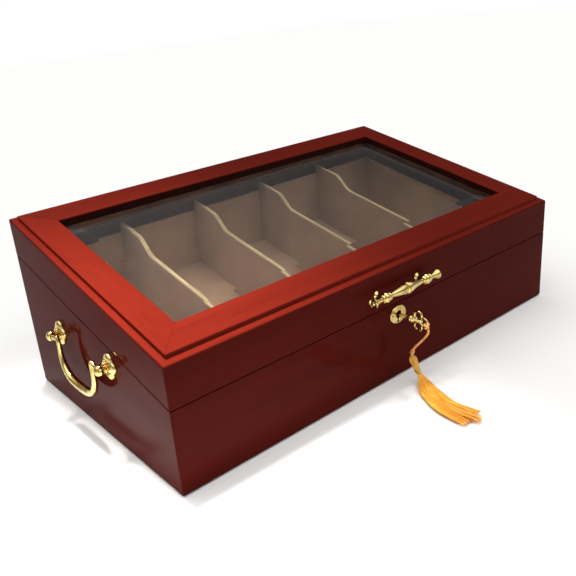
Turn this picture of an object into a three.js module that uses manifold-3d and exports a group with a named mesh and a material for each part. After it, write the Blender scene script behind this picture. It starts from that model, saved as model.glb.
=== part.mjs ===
// Slant-top display box for spectacles: a lacquered wooden base with five suede compartments, a hinged lid
// with a bevelled glass, brass handles, pull, lock and key, and a tassel that hangs from the key by a cord.
// Millimetres. +X is to the right, +Y to the back, +Z up. The origin is the middle of the underside.
import * as THREE from "three";
import { mergeVertices } from "three/addons/utils/BufferGeometryUtils.js";
import Module from "manifold-3d";

const wasm = await Module();
wasm.setup();

// ---- driving sizes: the box ----
const boxWidth = 396;
const boxDepth = 210;
const frontHeight = 60.5; // top of the base at its front, from the table
const backHeight = 111.5; // top of the base at its back
const wallThickness = 13;
const bottomThickness = 6;
const feltThickness = 0.8;
const feltInset = 3;
const glueLine = 0.1; // left open at every glued or let-in face
const seamGap = 0.6; // lid above base when closed

// ---- driving sizes: inside ----
const compartments = 5;
const liningThickness = 1.5;
const trayFrontRise = 17; // top of the floor lining at the front, from the table
const trayThickness = 4;
const dividerThickness = 4;
const dividerDrop = 2; // straight edge of a divider below the seam
const dividerEar = 7.6; // raised back of a divider above the seam
const earLength = 26; // level top of the raised back
const earSweep = 19; // length of the S curve in front of it

// ---- driving sizes: the lid ----
const lidHeight = 29.5;
const rimRadius = 1.6;
const frameInset = 5.4;
const frameStep = 3.1; // top of the frame above the rim
const frameWidth = 22.6;
const frameChamfer = 0.6;
const frameHang = 13; // underside of the frame below the rim
const glassRecess = 4.6; // top of the glass below the top of the frame
const glassThickness = 4;
const glassLap = 4; // glass hidden under the frame
const bevelWidth = 18;
const bevelDrop = 1.8;
const glassClearance = 0.2;

// ---- driving sizes: brass ----
const hingeInset = 70; // middle of a hinge from the side of the box
const hingeLength = 38;
const hingeLeaf = 1.2;
const hingeReach = 10; // leaf let into the wood
const knuckleRadius = 2.6;
const hingePinRadius = 1.2;
const workingClearance = 0.3;
const handleSpan = 76; // between the two pivots of one handle
const handleBehindMiddle = 3.5;
const handleBelowSeam = 21.6;
const pivotProud = 8.2; // pivot out from the side of the box
const bailDrop = 27.5; // pivot to the middle of the grip
const bailEndRadius = 1.7;
const bailGripRadius = 3.4;
const pullLength = 72;
const pullProud = 8.8;
const pullAboveSeam = 14.3;
const pullLegSpacing = 44;
const screwRadius = 1.5;
const lockBelowSeam = 8.4;
const plateHalfWidth = 8.5;
const plateHalfHeight = 7;
const plateThickness = 1.6;
const keyShaftRadius = 1.6;
const keyProud = 14; // start of the bow out from the box
const bowRingRadius = 3.2;
const bowWire = 0.9;
const boltTravel = 5;

// ---- sizes that follow ----
const halfWidth = boxWidth / 2;
const halfDepth = boxDepth / 2;
const slope = (backHeight - frontHeight) / boxDepth;
const seamAt = (y) => frontHeight + (y + halfDepth) * slope;
const liningFace = wallThickness + liningThickness;
const trayDepth = seamAt(liningFace - halfDepth) - trayFrontRise; // floor lining below the seam
const frameTop = lidHeight + frameStep;
const frameInner = frameInset + frameWidth;
const rebate = frameInner - glassLap;
const glassTop = frameTop - glassRecess;

const cherry = new THREE.MeshStandardMaterial({ color: 0x6a1512, roughness: 0.15, metalness: 0 });
const suede = new THREE.MeshStandardMaterial({ color: 0x6b584a, roughness: 0.95, metalness: 0 });
const bareBoard = new THREE.MeshStandardMaterial({ color: 0xb59a6c, roughness: 0.8, metalness: 0 });
const felt = new THREE.MeshStandardMaterial({ color: 0x2a1d18, roughness: 1, metalness: 0 });
const brass = new THREE.MeshStandardMaterial({ color: 0xd9b45a, roughness: 0.2, metalness: 1 });
const steel = new THREE.MeshStandardMaterial({ color: 0x8f8f8c, roughness: 0.4, metalness: 1 });
const silk = new THREE.MeshStandardMaterial({ color: 0xf5a21a, roughness: 0.6, metalness: 0 });
const clear = new THREE.MeshStandardMaterial({
  color: 0xaebbb2,
  roughness: 0.05,
  metalness: 0,
  transparent: true,
  opacity: 0.35,
});

const organizer = new THREE.Group();

function add(name, geometry, material, parent = organizer) {
  const mesh = new THREE.Mesh(geometry, material);
  mesh.name = name;
  parent.add(mesh);
  return mesh;
}

// ---- solids ----
function toSolid(geometry) {
  const bare = geometry.clone();
  bare.deleteAttribute("normal");
  bare.deleteAttribute("uv");
  const merged = mergeVertices(bare, 1e-4);
  const vertProperties = new Float32Array(merged.attributes.position.array);
  const triVerts = new Uint32Array(merged.index.array);
  return new wasm.Manifold(new wasm.Mesh({ numProp: 3, vertProperties, triVerts }));
}

function toGeometry(solid) {
  const made = solid.getMesh();
  const geometry = new THREE.BufferGeometry();
  geometry.setAttribute("position", new THREE.BufferAttribute(new Float32Array(made.vertProperties), 3));
  geometry.setIndex(new THREE.BufferAttribute(new Uint32Array(made.triVerts), 1));
  geometry.computeVertexNormals();
  return geometry;
}

function join(first, ...others) {
  return toGeometry(others.reduce((sum, one) => sum.add(toSolid(one)), toSolid(first)));
}

function cut(body, ...tools) {
  return toGeometry(tools.reduce((rest, one) => rest.subtract(toSolid(one)), toSolid(body)));
}

// A box between two corners.
function block(x0, x1, y0, y1, z0, z1) {
  const geometry = new THREE.BoxGeometry(x1 - x0, y1 - y0, z1 - z0);
  return geometry.translate((x0 + x1) / 2, (y0 + y1) / 2, (z0 + z1) / 2);
}

// Moves every vertex by a function of its own position.
function reshape(geometry, place) {
  const position = geometry.attributes.position;
  const point = new THREE.Vector3();
  for (let i = 0; i < position.count; i += 1) {
    point.fromBufferAttribute(position, i);
    place(point);
    position.setXYZ(i, point.x, point.y, point.z);
  }
  geometry.computeVertexNormals();
  return geometry;
}

// Heights measured from the seam become heights from the table: level becomes parallel to the slant top.
function onSlant(geometry) {
  return reshape(geometry, (p) => {
    p.z += seamAt(p.y);
  });
}

// A bar along one side of the box, mitred at both ends. The section is given as [distance in from the
// outer face, height] pairs.
const turns = { front: 0, right: Math.PI / 2, back: Math.PI, left: -Math.PI / 2 };
function sideBar(side, section) {
  const alongX = side === "front" || side === "back";
  const length = alongX ? boxWidth : boxDepth;
  const outer = alongX ? halfDepth : halfWidth;
  const shape = new THREE.Shape(section.map(([inward, height]) => new THREE.Vector2(inward, height)));
  const bar = new THREE.ExtrudeGeometry(shape, { depth: length, bevelEnabled: false });
  reshape(bar, (p) => {
    const mitre = p.x + glueLine;
    const along = p.z < length / 2 ? mitre : length - mitre;
    p.set(along - length / 2, p.x - outer, p.y);
  });
  return bar.rotateZ(turns[side]);
}

const oblong = (in0, in1, low, high) => [[in0, low], [in1, low], [in1, high], [in0, high]];

// A turned piece about +Z from [radius, height] pairs that start and end on the axis.
function turned(profile, sides) {
  const points = profile.map(([radius, height]) => new THREE.Vector2(radius, height));
  return new THREE.LatheGeometry(points, sides).rotateX(Math.PI / 2);
}

const rod = (radius, y0, y1, x, z, sides = 20) =>
  new THREE.CylinderGeometry(radius, radius, y1 - y0, sides).translate(x, (y0 + y1) / 2, z);

// A round rod bent along a curve, with its half width and half height at each share of the length.
function bentRod(curve, halfSizeAt, steps, sides) {
  const length = 1;
  const geometry = new THREE.CylinderGeometry(1, 1, length, sides, steps);
  const frames = curve.computeFrenetFrames(steps, false);
  return reshape(geometry, (p) => {
    const share = THREE.MathUtils.clamp(p.y + length / 2, 0, 1);
    const step = Math.round(share * steps);
    const [wide, high] = halfSizeAt(share);
    const centre = curve.getPointAt(share);
    const across = frames.binormals[step].clone().multiplyScalar(p.x * wide);
    const up = frames.normals[step].clone().multiplyScalar(p.z * high);
    p.copy(centre).add(across).add(up);
  });
}

// ---- base ----
const lockHeight = seamAt(-halfDepth) - lockBelowSeam;
const lockHalfWidth = 16;
const lockCaseDepth = 27;
const lockFront = 3; // wood left in front of the lock case
const lockCasing = 8.6;
const casePlate = 0.7;
const bitLayer = 1.9;
const boltLayer = 3.2;
const boltHalfWidth = 5;
const boltLength = 15;
const bitReach = 6;
const keyholeRadius = 3.4;
const keySlotHalf = 1.1;

const hingeAxisY = halfDepth + knuckleRadius + workingClearance;
const hingeAxisZ = seamAt(halfDepth) + seamGap / 2;
const hingeMiddles = { left: hingeInset - halfWidth, right: halfWidth - hingeInset };

// A plumb wall from the underside of the wood up to the slanting seam.
function baseWall(side) {
  const wall = sideBar(side, oblong(0, wallThickness, -1, 0));
  return reshape(wall, (p) => {
    p.z = p.z < -0.5 ? feltThickness + glueLine : seamAt(p.y);
  });
}

// The recess for a hinge leaf, from the back face inwards, between two heights from the seam.
function leafRecess(middle, low, high) {
  const half = hingeLength / 2 + glueLine;
  const inner = halfDepth - hingeReach - glueLine;
  return onSlant(block(middle - half, middle + half, inner, halfDepth + 1, low, high));
}

// The keyhole: a round hole with a slot below it for the bit.
function keyhole(y0, y1) {
  const slotFoot = lockHeight - bitReach - workingClearance;
  const slot = block(-keySlotHalf, keySlotHalf, y0, y1, slotFoot, lockHeight);
  return join(rod(keyholeRadius, y0, y1, 0, lockHeight), slot);
}

function baseFront() {
  const back = halfDepth - wallThickness;
  const half = lockHalfWidth + glueLine;
  const front = lockFront - glueLine;
  const mortise = onSlant(block(-half, half, front - halfDepth, 1 - back, -lockCaseDepth - glueLine, 1));
  return cut(baseWall("front"), mortise, keyhole(-halfDepth - 1, lockFront - halfDepth + 1));
}

function baseBack() {
  const recesses = Object.values(hingeMiddles).map((x) => leafRecess(x, -hingeLeaf - 2 * glueLine, 1));
  return cut(baseWall("back"), ...recesses);
}

add("base_front", baseFront(), cherry);
add("base_back", baseBack(), cherry);
add("base_left", baseWall("left"), cherry);
add("base_right", baseWall("right"), cherry);

const floorHalfX = halfWidth - wallThickness - glueLine;
const floorHalfY = halfDepth - wallThickness - glueLine;
const woodBottom = feltThickness + glueLine;
add(
  "bottom_panel",
  block(-floorHalfX, floorHalfX, -floorHalfY, floorHalfY, woodBottom, woodBottom + bottomThickness),
  bareBoard,
);
const feltHalfX = halfWidth - feltInset;
const feltHalfY = halfDepth - feltInset;
add("base_felt", block(-feltHalfX, feltHalfX, -feltHalfY, feltHalfY, 0, feltThickness), felt);

// ---- tray, linings and dividers ----
const trayTop = -trayDepth - liningThickness - glueLine;
add(
  "tray_floor",
  onSlant(block(-floorHalfX, floorHalfX, -floorHalfY, floorHalfY, trayTop - trayThickness, trayTop)),
  bareBoard,
);
const liningHalfX = halfWidth - liningFace - glueLine;
const liningHalfY = halfDepth - liningFace - glueLine;
add(
  "floor_lining",
  onSlant(block(-liningHalfX, liningHalfX, -liningHalfY, liningHalfY, trayTop + glueLine, -trayDepth)),
  suede,
);
for (const side of ["front", "back", "left", "right"]) {
  const section = oblong(wallThickness + glueLine, liningFace, trayTop + glueLine, -liningThickness / 2);
  add(`${side}_lining`, onSlant(sideBar(side, section)), suede);
}

// A divider seen from the side: straight along the seam, then an S curve up to a raised back.
function dividerOutline() {
  const outline = new THREE.Shape();
  const earStart = liningHalfY - earLength;
  const sweepStart = earStart - earSweep;
  outline.moveTo(-liningHalfY, glueLine - trayDepth);
  outline.lineTo(liningHalfY, glueLine - trayDepth);
  outline.lineTo(liningHalfY, dividerEar);
  outline.lineTo(earStart, dividerEar);
  const middle = earStart - earSweep / 2;
  outline.bezierCurveTo(middle, dividerEar, middle, -dividerDrop, sweepStart, -dividerDrop);
  outline.lineTo(-liningHalfY, -dividerDrop);
  outline.closePath();
  return outline;
}

const innerHalf = halfWidth - liningFace;
const dividerPitch = (2 * innerHalf + dividerThickness) / compartments;
for (let i = 1; i < compartments; i += 1) {
  const plate = new THREE.ExtrudeGeometry(dividerOutline(), {
    depth: dividerThickness,
    bevelEnabled: false,
    curveSegments: 10,
  });
  reshape(plate, (p) => p.set(p.z - dividerThickness / 2, p.x, p.y));
  plate.translate(i * dividerPitch - innerHalf - dividerThickness / 2, 0, 0);
  add(`divider_${i}`, onSlant(plate), suede);
}

// ---- lock ----
const caseFrontY = lockFront - halfDepth;
const bitFrontY = caseFrontY + casePlate;
const boltFrontY = bitFrontY + bitLayer;
const boltBackY = boltFrontY + boltLayer;

function lockCase() {
  const half = lockHalfWidth;
  const body = onSlant(block(-half, half, caseFrontY, caseFrontY + lockCasing, -lockCaseDepth, -glueLine));
  const sweep = rod(bitReach + 3 * workingClearance, bitFrontY, boltFrontY, 0, lockHeight, 32);
  const channelHalf = boltHalfWidth + workingClearance;
  const channelLow = -boltLength - 2 * workingClearance;
  const channel = onSlant(block(-channelHalf, channelHalf, boltFrontY - 0.1, boltBackY, channelLow, 1));
  return cut(body, sweep, channel, keyhole(caseFrontY - 1, bitFrontY + 0.1));
}
add("lock_case", lockCase(), steel);

const bolt = block(
  -boltHalfWidth,
  boltHalfWidth,
  boltFrontY + workingClearance,
  boltBackY - workingClearance,
  -boltLength,
  -workingClearance,
);
add("lock_bolt", onSlant(bolt), steel);

const plateFace = -halfDepth - glueLine;
function lockPlate() {
  const rim = 0.5;
  const thick = plateThickness;
  const high = plateHalfHeight;
  const profile = [[0, 0], [high, 0], [high, thick - rim], [high - rim, thick], [0, thick]];
  const disc = turned(profile, 40).scale(plateHalfWidth / high, 1, 1);
  disc.rotateX(Math.PI / 2).translate(0, plateFace, lockHeight);
  return cut(disc, keyhole(plateFace - thick - 1, plateFace + 1));
}
add("lock_plate", lockPlate(), brass);

// ---- key: shaft, bit and a bow of three rings ----
function key() {
  const tipY = boltFrontY - workingClearance;
  const bowY = -halfDepth - keyProud;
  const shaft = rod(keyShaftRadius, bowY, tipY, 0, lockHeight, 16);
  const bit = block(-0.7, 0.7, bitFrontY + workingClearance, tipY, lockHeight - bitReach, lockHeight);
  const collarProfile = [[0, -1.4], [2.2, -1.4], [2.7, 0], [2.2, 1.4], [0, 1.4]];
  const collar = turned(collarProfile, 16).rotateX(Math.PI / 2).translate(0, bowY + 1, lockHeight);
  const ring = (y, z) => {
    const torus = new THREE.TorusGeometry(bowRingRadius, bowWire, 8, 24);
    return torus.rotateY(Math.PI / 2).translate(0, y, z);
  };
  const sideRingY = bowY - bowRingRadius - 2 * bowWire;
  const spread = bowRingRadius + bowWire;
  const upper = ring(sideRingY, lockHeight + spread);
  const lower = ring(sideRingY, lockHeight - spread);
  const outer = ring(sideRingY - bowRingRadius - 2 * bowWire, lockHeight);
  const stem = rod(1.3, sideRingY - spread + bowWire, bowY, 0, lockHeight, 12);
  return join(shaft, bit, collar, upper, lower, outer, stem);
}
add("key", key(), brass);

// ---- hinges: each has a lower leaf, an upper leaf and a pin ----
const knuckle = hingeLength / 3;
function knuckleTube(x0, x1) {
  const tube = new THREE.CylinderGeometry(knuckleRadius, knuckleRadius, x1 - x0, 20);
  return tube.rotateZ(Math.PI / 2).translate((x0 + x1) / 2, hingeAxisY, hingeAxisZ);
}

// A leaf whose tabs reach out to its own knuckles, bored for the pin.
function hingeLeafPiece(middle, low, spans) {
  const half = hingeLength / 2;
  const inner = halfDepth - hingeReach;
  const plate = onSlant(
    block(middle - half, middle + half, inner, halfDepth + glueLine, low, low + hingeLeaf),
  );
  const high = low + hingeLeaf;
  const tabs = spans.map(([a, b]) =>
    onSlant(block(middle + a, middle + b, halfDepth, hingeAxisY, low, high)),
  );
  const tubes = spans.map(([a, b]) => knuckleTube(middle + a, middle + b));
  const boreRadius = hingePinRadius + workingClearance / 2;
  const bore = new THREE.CylinderGeometry(boreRadius, boreRadius, hingeLength + 2, 16);
  bore.rotateZ(Math.PI / 2).translate(middle, hingeAxisY, hingeAxisZ);
  return cut(join(plate, ...tabs, ...tubes), bore);
}

const lid = new THREE.Group();
organizer.add(lid);
for (const [side, middle] of Object.entries(hingeMiddles)) {
  const outerEnd = hingeLength / 2;
  const innerEnd = knuckle / 2;
  const lowerSpans = [[-outerEnd, -innerEnd], [innerEnd, outerEnd]];
  const upperSpans = [[workingClearance - innerEnd, innerEnd - workingClearance]];
  add(`${side}_hinge_lower`, hingeLeafPiece(middle, -hingeLeaf - glueLine, lowerSpans), brass);
  add(`${side}_hinge_upper`, hingeLeafPiece(middle, seamGap + glueLine, upperSpans), brass, lid);
  const pin = new THREE.CylinderGeometry(hingePinRadius, hingePinRadius, hingeLength, 12);
  add(`${side}_hinge_pin`, pin.rotateZ(Math.PI / 2).translate(middle, hingeAxisY, hingeAxisZ), brass);
}

// ---- lid: four sides with a rounded rim ----
function lidSide(side) {
  const eased = rimRadius * (1 - Math.SQRT1_2);
  const section = [
    [0, seamGap],
    [wallThickness, seamGap],
    [wallThickness, lidHeight],
    [rimRadius, lidHeight],
    [eased, lidHeight - eased],
    [0, lidHeight - rimRadius],
  ];
  return onSlant(sideBar(side, section));
}

const pullHeight = seamAt(-halfDepth) + pullAboveSeam;
const screwXs = { left: -pullLegSpacing / 2, right: pullLegSpacing / 2 };
const strikeHalf = 14;
const strikePlate = 1;
const strikeFrontY = boltFrontY - 2.4;
const strikeBackY = boltBackY + 2.4;

function lidFront() {
  const screwHoles = Object.values(screwXs).map((x) =>
    rod(screwRadius + workingClearance, -halfDepth - 1, wallThickness + 1 - halfDepth, x, pullHeight, 16),
  );
  const strikeTop = seamGap + strikePlate + 2 * glueLine;
  const half = strikeHalf + glueLine;
  const from = strikeFrontY - glueLine;
  const to = strikeBackY + glueLine;
  const recess = onSlant(block(-half, half, from, to, seamGap - 1, strikeTop));
  const pocketHalf = boltHalfWidth + 2 * workingClearance;
  const pocket = onSlant(block(-pocketHalf, pocketHalf, boltFrontY, boltBackY, seamGap - 1, boltTravel + 3));
  return cut(lidSide("front"), ...screwHoles, recess, pocket);
}

function lidBack() {
  const recesses = Object.values(hingeMiddles).map((x) =>
    leafRecess(x, seamGap - 1, seamGap + hingeLeaf + 2 * glueLine),
  );
  return cut(lidSide("back"), ...recesses);
}

add("lid_front", lidFront(), cherry, lid);
add("lid_back", lidBack(), cherry, lid);
add("lid_left", lidSide("left"), cherry, lid);
add("lid_right", lidSide("right"), cherry, lid);

// ---- lid: mitred frame, glass and the beads that hold it ----
const railSection = [
  [frameInset, lidHeight + glueLine],
  [wallThickness + glueLine, lidHeight + glueLine],
  [wallThickness + glueLine, lidHeight - frameHang],
  [rebate, lidHeight - frameHang],
  [rebate, glassTop],
  [frameInner, glassTop],
  [frameInner, frameTop - frameChamfer],
  [frameInner - frameChamfer, frameTop],
  [frameInset + frameChamfer, frameTop],
  [frameInset, frameTop - frameChamfer],
];
const glassLow = glassTop - glassClearance - glassThickness;
const beadSection = oblong(
  rebate + glassClearance,
  frameInner - glassClearance,
  lidHeight - frameHang + glassClearance,
  glassLow - glassClearance,
);
for (const side of ["front", "back", "left", "right"]) {
  add(`frame_${side}`, onSlant(sideBar(side, railSection)), cherry, lid);
  add(`glass_bead_${side}`, onSlant(sideBar(side, beadSection)), cherry, lid);
}

// A pane with a wide bevel round its upper face.
function bevelledGlass() {
  const halfX = halfWidth - rebate - glassClearance;
  const halfY = halfDepth - rebate - glassClearance;
  const flatX = halfX - bevelWidth;
  const flatY = halfY - bevelWidth;
  const flat = new THREE.Shape([
    new THREE.Vector2(-flatX, -flatY),
    new THREE.Vector2(flatX, -flatY),
    new THREE.Vector2(flatX, flatY),
    new THREE.Vector2(-flatX, flatY),
  ]);
  const hipped = new THREE.ExtrudeGeometry(flat, {
    depth: glassThickness,
    bevelThickness: bevelDrop,
    bevelSize: bevelWidth,
    bevelSegments: 1,
  });
  hipped.translate(0, 0, glassLow - bevelDrop);
  const keep = block(-halfX - 1, halfX + 1, -halfY - 1, halfY + 1, glassLow, glassLow + 2 * glassThickness);
  return onSlant(toGeometry(toSolid(hipped).intersect(toSolid(keep))));
}
add("glass", bevelledGlass(), clear, lid);

// ---- lid: strike plate and pull ----
function strike() {
  const low = seamGap + glueLine;
  const plate = onSlant(block(-strikeHalf, strikeHalf, strikeFrontY, strikeBackY, low, low + strikePlate));
  const half = boltHalfWidth + workingClearance;
  return cut(plate, onSlant(block(-half, half, boltFrontY, boltBackY, low - 1, low + strikePlate + 1)));
}
add("strike_plate", strike(), brass, lid);

// Half of the turned bar as [radius, distance from its middle]: bulb, taper, three beads and a flared end.
function pullBar() {
  const legAt = pullLegSpacing / 2;
  const end = pullLength / 2;
  const half = [
    [4.2, 0],
    [4.4, 1.2],
    [4, 3.2],
    [3.1, 5],
    [3.4, 7],
    [2.9, legAt - 9],
    [2, legAt - 4.4],
    [3.2, legAt - 3.6],
    [3.2, legAt - 2.2],
    [2.6, legAt - 1.6],
    [3.8, legAt - 0.9],
    [3.8, legAt + 0.9],
    [2.6, legAt + 1.6],
    [3.2, legAt + 2.2],
    [3.2, legAt + 3.6],
    [2.1, legAt + 4.6],
    [2.5, end - 6],
    [3.7, end - 2.6],
    [3.7, end - 1.4],
    [2.4, end - 0.4],
    [0, end],
  ];
  const mirrored = half.slice(1).reverse().map(([r, s]) => [r, -s]);
  const bar = turned([...mirrored, ...half], 16).rotateY(Math.PI / 2);
  bar.translate(0, -halfDepth - pullProud, pullHeight);
  const legs = Object.values(screwXs).map((x) => {
    const flange = [[0, 0], [2.4, 0], [2.4, 0.5], [2, 1.5], [2, pullProud], [0, pullProud]];
    return turned(flange, 16).rotateX(Math.PI / 2).translate(x, -halfDepth - glueLine, pullHeight);
  });
  const tapped = Object.values(screwXs).map((x) =>
    rod(screwRadius + workingClearance / 2, -halfDepth - pullProud + 3, 1 - halfDepth, x, pullHeight, 12),
  );
  return cut(join(bar, ...legs), ...tapped);
}
add("pull", pullBar(), brass, lid);

for (const [side, x] of Object.entries(screwXs)) {
  const headBase = wallThickness - halfDepth + glueLine;
  const tip = -halfDepth - pullProud + 4;
  const head = rod(3.2, headBase, headBase + 1.8, x, pullHeight, 16);
  add(`pull_screw_${side}`, join(rod(screwRadius, tip, headBase + 1, x, pullHeight, 12), head), brass, lid);
}

// ---- carrying handles: two rosettes, two posts and a swan-neck bail on each side ----
const pivotHeight = seamAt(handleBehindMiddle) - handleBelowSeam;
const eyeRadius = 3.9;
const eyeHalf = 2.4;
const pivotBore = bailEndRadius + workingClearance;
const rosetteThick = 2;

// A four-lobed plate, a little taller than wide, lying against the side of the box. It faces -X.
function rosette() {
  const bevel = 0.7;
  const lobe = (radius, y, z) => {
    const circle = new THREE.Shape().absarc(0, 0, radius - bevel, 0, 2 * Math.PI);
    const disc = new THREE.ExtrudeGeometry(circle, {
      depth: rosetteThick - bevel,
      bevelThickness: bevel,
      bevelSize: bevel,
      bevelSegments: 1,
      curveSegments: 9,
    });
    return disc.rotateY(-Math.PI / 2).translate(0, y, z);
  };
  const lobes = join(lobe(4.9, 0, 4.7), lobe(4.9, 0, -4.7), lobe(4.6, 3.6, 0), lobe(4.6, -3.6, 0));
  const hole = new THREE.CylinderGeometry(2.3, 2.3, 3 * rosetteThick, 16).rotateZ(Math.PI / 2);
  return cut(lobes, block(0, 5, -20, 20, -20, 20), hole);
}

// A turned post that stands out from the side with an eye at its end. The post points along -X.
function post() {
  const stand = pivotProud - rosetteThick;
  const base = rosetteThick + glueLine;
  const profile = [
    [0, 0],
    [2, 0],
    [2, base],
    [3.9, base],
    [3.9, base + 1.2],
    [2.2, base + 1.8],
    [3, base + 2.6],
    [2, base + 3.2],
    [2, stand + 1],
    [0, stand + 1],
  ];
  const stem = turned(profile, 18).rotateY(-Math.PI / 2);
  const eye = rod(eyeRadius, -eyeHalf, eyeHalf, -pivotProud, 0, 24);
  return cut(join(stem, eye), rod(pivotBore, -2 * eyeHalf, 2 * eyeHalf, -pivotProud, 0, 20));
}

// The bail hangs in its own plane from pins at both ends, with a small hook above each pivot.
function bail() {
  const pin = handleSpan / 2;
  const leg = pin - 12;
  const quarter = [
    [pin - eyeHalf - 1, 0],
    [pin - 7.2, 0.6],
    [pin - 10, 1.6],
    [leg + 0.2, -0.8],
    [leg + 0.4, -6],
    [leg + 0.3, -13],
    [leg - 2.8, -20],
    [leg - 9.6, -bailDrop + 2],
    [leg - 18, -bailDrop + 0.3],
  ];
  const points = [
    ...quarter.map(([y, z]) => new THREE.Vector3(0, y, z)),
    new THREE.Vector3(0, 0, -bailDrop),
    ...quarter.map(([y, z]) => new THREE.Vector3(0, -y, z)).reverse(),
  ];
  const curve = new THREE.CatmullRomCurve3(points, false, "centripetal");
  const girth = (share) => {
    const swell = Math.sin(Math.PI * share) ** 3;
    const radius = bailEndRadius + 0.3 + (bailGripRadius - bailEndRadius - 0.3) * swell;
    return [radius, radius];
  };
  const bar = bentRod(curve, girth, 60, 10);
  const ends = [1, -1].map((way) => {
    const from = way * (pin - eyeHalf - 1.6);
    const to = way * (pin + eyeHalf + 0.6);
    return rod(bailEndRadius, Math.min(from, to), Math.max(from, to), 0, 0, 16);
  });
  const buttonProfile = [[0, 0], [3, 0], [3, 0.8], [2, 1.8], [0, 2.2]];
  const buttons = [1, -1].map((way) => {
    const button = turned(buttonProfile, 18).rotateX((-way * Math.PI) / 2);
    return button.translate(0, way * (pin + eyeHalf + workingClearance), 0);
  });
  return join(bar, ...ends, ...buttons);
}

for (const [side, turn] of [["left", 0], ["right", Math.PI]]) {
  const handle = new THREE.Group();
  handle.position.set(0, handleBehindMiddle, pivotHeight);
  handle.rotation.z = turn;
  organizer.add(handle);
  for (const [place, way] of [["front", -1], ["back", 1]]) {
    const y = (way * handleSpan) / 2 * (side === "left" ? 1 : -1);
    const rosettePiece = add(`${side}_rosette_${place}`, rosette(), brass, handle);
    rosettePiece.position.set(-halfWidth - glueLine, y, 0);
    const postPiece = add(`${side}_post_${place}`, post(), brass, handle);
    postPiece.position.set(-halfWidth - glueLine, y, 0);
  }
  const bailPiece = add(`${side}_bail`, bail(), brass, handle);
  bailPiece.position.set(-halfWidth - glueLine - pivotProud, 0, 0);
}

// ---- cord and tassel, from the key's outer ring down to the table ----
const cordRadius = 0.9;
const cordPoints = [
  [0, -132.7, 48.2],
  [0, -132.9, 46.2],
  [0, -132, 43.7],
  [0, -130.2, 41.1],
  [0, -128, 38.3],
  [0, -125.5, 35.3],
  [0, -122.9, 32.2],
  [0, -120.4, 29],
  [0, -118.7, 25.7],
  [0, -118, 22.4],
].map(([x, y, z]) => new THREE.Vector3(x, y, z));
const cordCurve = new THREE.CatmullRomCurve3(cordPoints, false, "centripetal");
const cordSection = new THREE.Shape(
  Array.from({ length: 8 }, (_, i) => {
    const angle = (i * Math.PI) / 4;
    return new THREE.Vector2(cordRadius * Math.cos(angle), cordRadius * Math.sin(angle));
  }),
);
add("cord", new THREE.ExtrudeGeometry(cordSection, { steps: 14, extrudePath: cordCurve }), silk);

const headRadius = 3.2;
const neckRadius = 2.2;
const bulbMiddle = 0.3; // shares of the head's length
const bulbHalf = 0.38;
const headCurve = new THREE.LineCurve3(new THREE.Vector3(0, -118, 21.6), new THREE.Vector3(1.4, -123.2, 8));
const headGirth = (share) => {
  const bulb = headRadius * Math.sqrt(Math.max(0, 1 - ((share - bulbMiddle) / bulbHalf) ** 2));
  const radius = Math.max(bulb, neckRadius);
  return [radius, radius];
};
add("tassel_head", bentRod(headCurve, headGirth, 12, 14), silk);

const skirtPoints = [
  [1.6, -123.9, 6.9],
  [1.4, -126.8, 4.1],
  [-1.2, -131.5, 3.1],
  [-7.8, -141.5, 3],
  [-14.4, -160, 2.9],
  [-13.6, -185, 2.6],
].map(([x, y, z]) => new THREE.Vector3(x, y, z));
const skirtCurve = new THREE.CatmullRomCurve3(skirtPoints, false, "centripetal");
const skirtStartHalf = 2.4; // half width and half thickness at the binding
const skirtFan = 9; // how much half width is gained by the cut ends
const skirtThin = 0.5; // how much half thickness is lost by the cut ends
// Flat on the table: wide across, thin upwards, spread at the cut ends.
function skirt() {
  const steps = 20;
  const geometry = new THREE.CylinderGeometry(1, 1, 1, 14, steps);
  return reshape(geometry, (p) => {
    const share = THREE.MathUtils.clamp(p.y + 0.5, 0, 1);
    const centre = skirtCurve.getPointAt(share);
    const along = skirtCurve.getTangentAt(share);
    const across = new THREE.Vector3(along.y, -along.x, 0).normalize();
    const up = new THREE.Vector3().crossVectors(across, along).normalize();
    across.multiplyScalar(p.x * (skirtStartHalf + skirtFan * share));
    up.multiplyScalar(p.z * (skirtStartHalf - skirtThin * share));
    p.copy(centre).add(across).add(up);
  });
}
add("tassel_skirt", skirt(), silk);

export default organizer;
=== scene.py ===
# A slant-top display box for spectacles: cherry-lacquered wood, a bevelled glass in the lid, five suede
# compartments, brass handles, pull, lock and key, and a silk tassel on the key. Blender 4.5, metres, +Z up.
import math
import random

import bmesh
import bpy
from mathutils import Matrix, Vector, noise


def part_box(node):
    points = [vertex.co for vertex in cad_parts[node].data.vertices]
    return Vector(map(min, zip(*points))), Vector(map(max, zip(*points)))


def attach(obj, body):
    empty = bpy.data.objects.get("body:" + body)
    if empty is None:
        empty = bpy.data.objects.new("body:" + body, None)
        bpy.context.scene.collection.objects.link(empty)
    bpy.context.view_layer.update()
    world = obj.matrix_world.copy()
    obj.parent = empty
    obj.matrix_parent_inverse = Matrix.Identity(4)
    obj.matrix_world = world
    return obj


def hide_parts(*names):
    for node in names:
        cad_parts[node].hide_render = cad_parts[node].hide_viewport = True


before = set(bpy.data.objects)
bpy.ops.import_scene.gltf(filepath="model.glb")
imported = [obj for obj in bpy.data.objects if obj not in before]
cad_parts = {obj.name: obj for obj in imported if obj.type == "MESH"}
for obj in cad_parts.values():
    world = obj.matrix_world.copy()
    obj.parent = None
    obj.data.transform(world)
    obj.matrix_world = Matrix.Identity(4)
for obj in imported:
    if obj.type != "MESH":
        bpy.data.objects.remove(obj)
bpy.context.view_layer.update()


# ---- Camera: it stands in front of the box and to its left, a little above it, and looks down at it. ----
# The lens is shifted so that the box sits left of the middle of the frame.
camera_place = Vector((-0.35835, -0.41015, 0.27235))
camera_right = Vector((0.78421, -0.61225, -0.10086))
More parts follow.
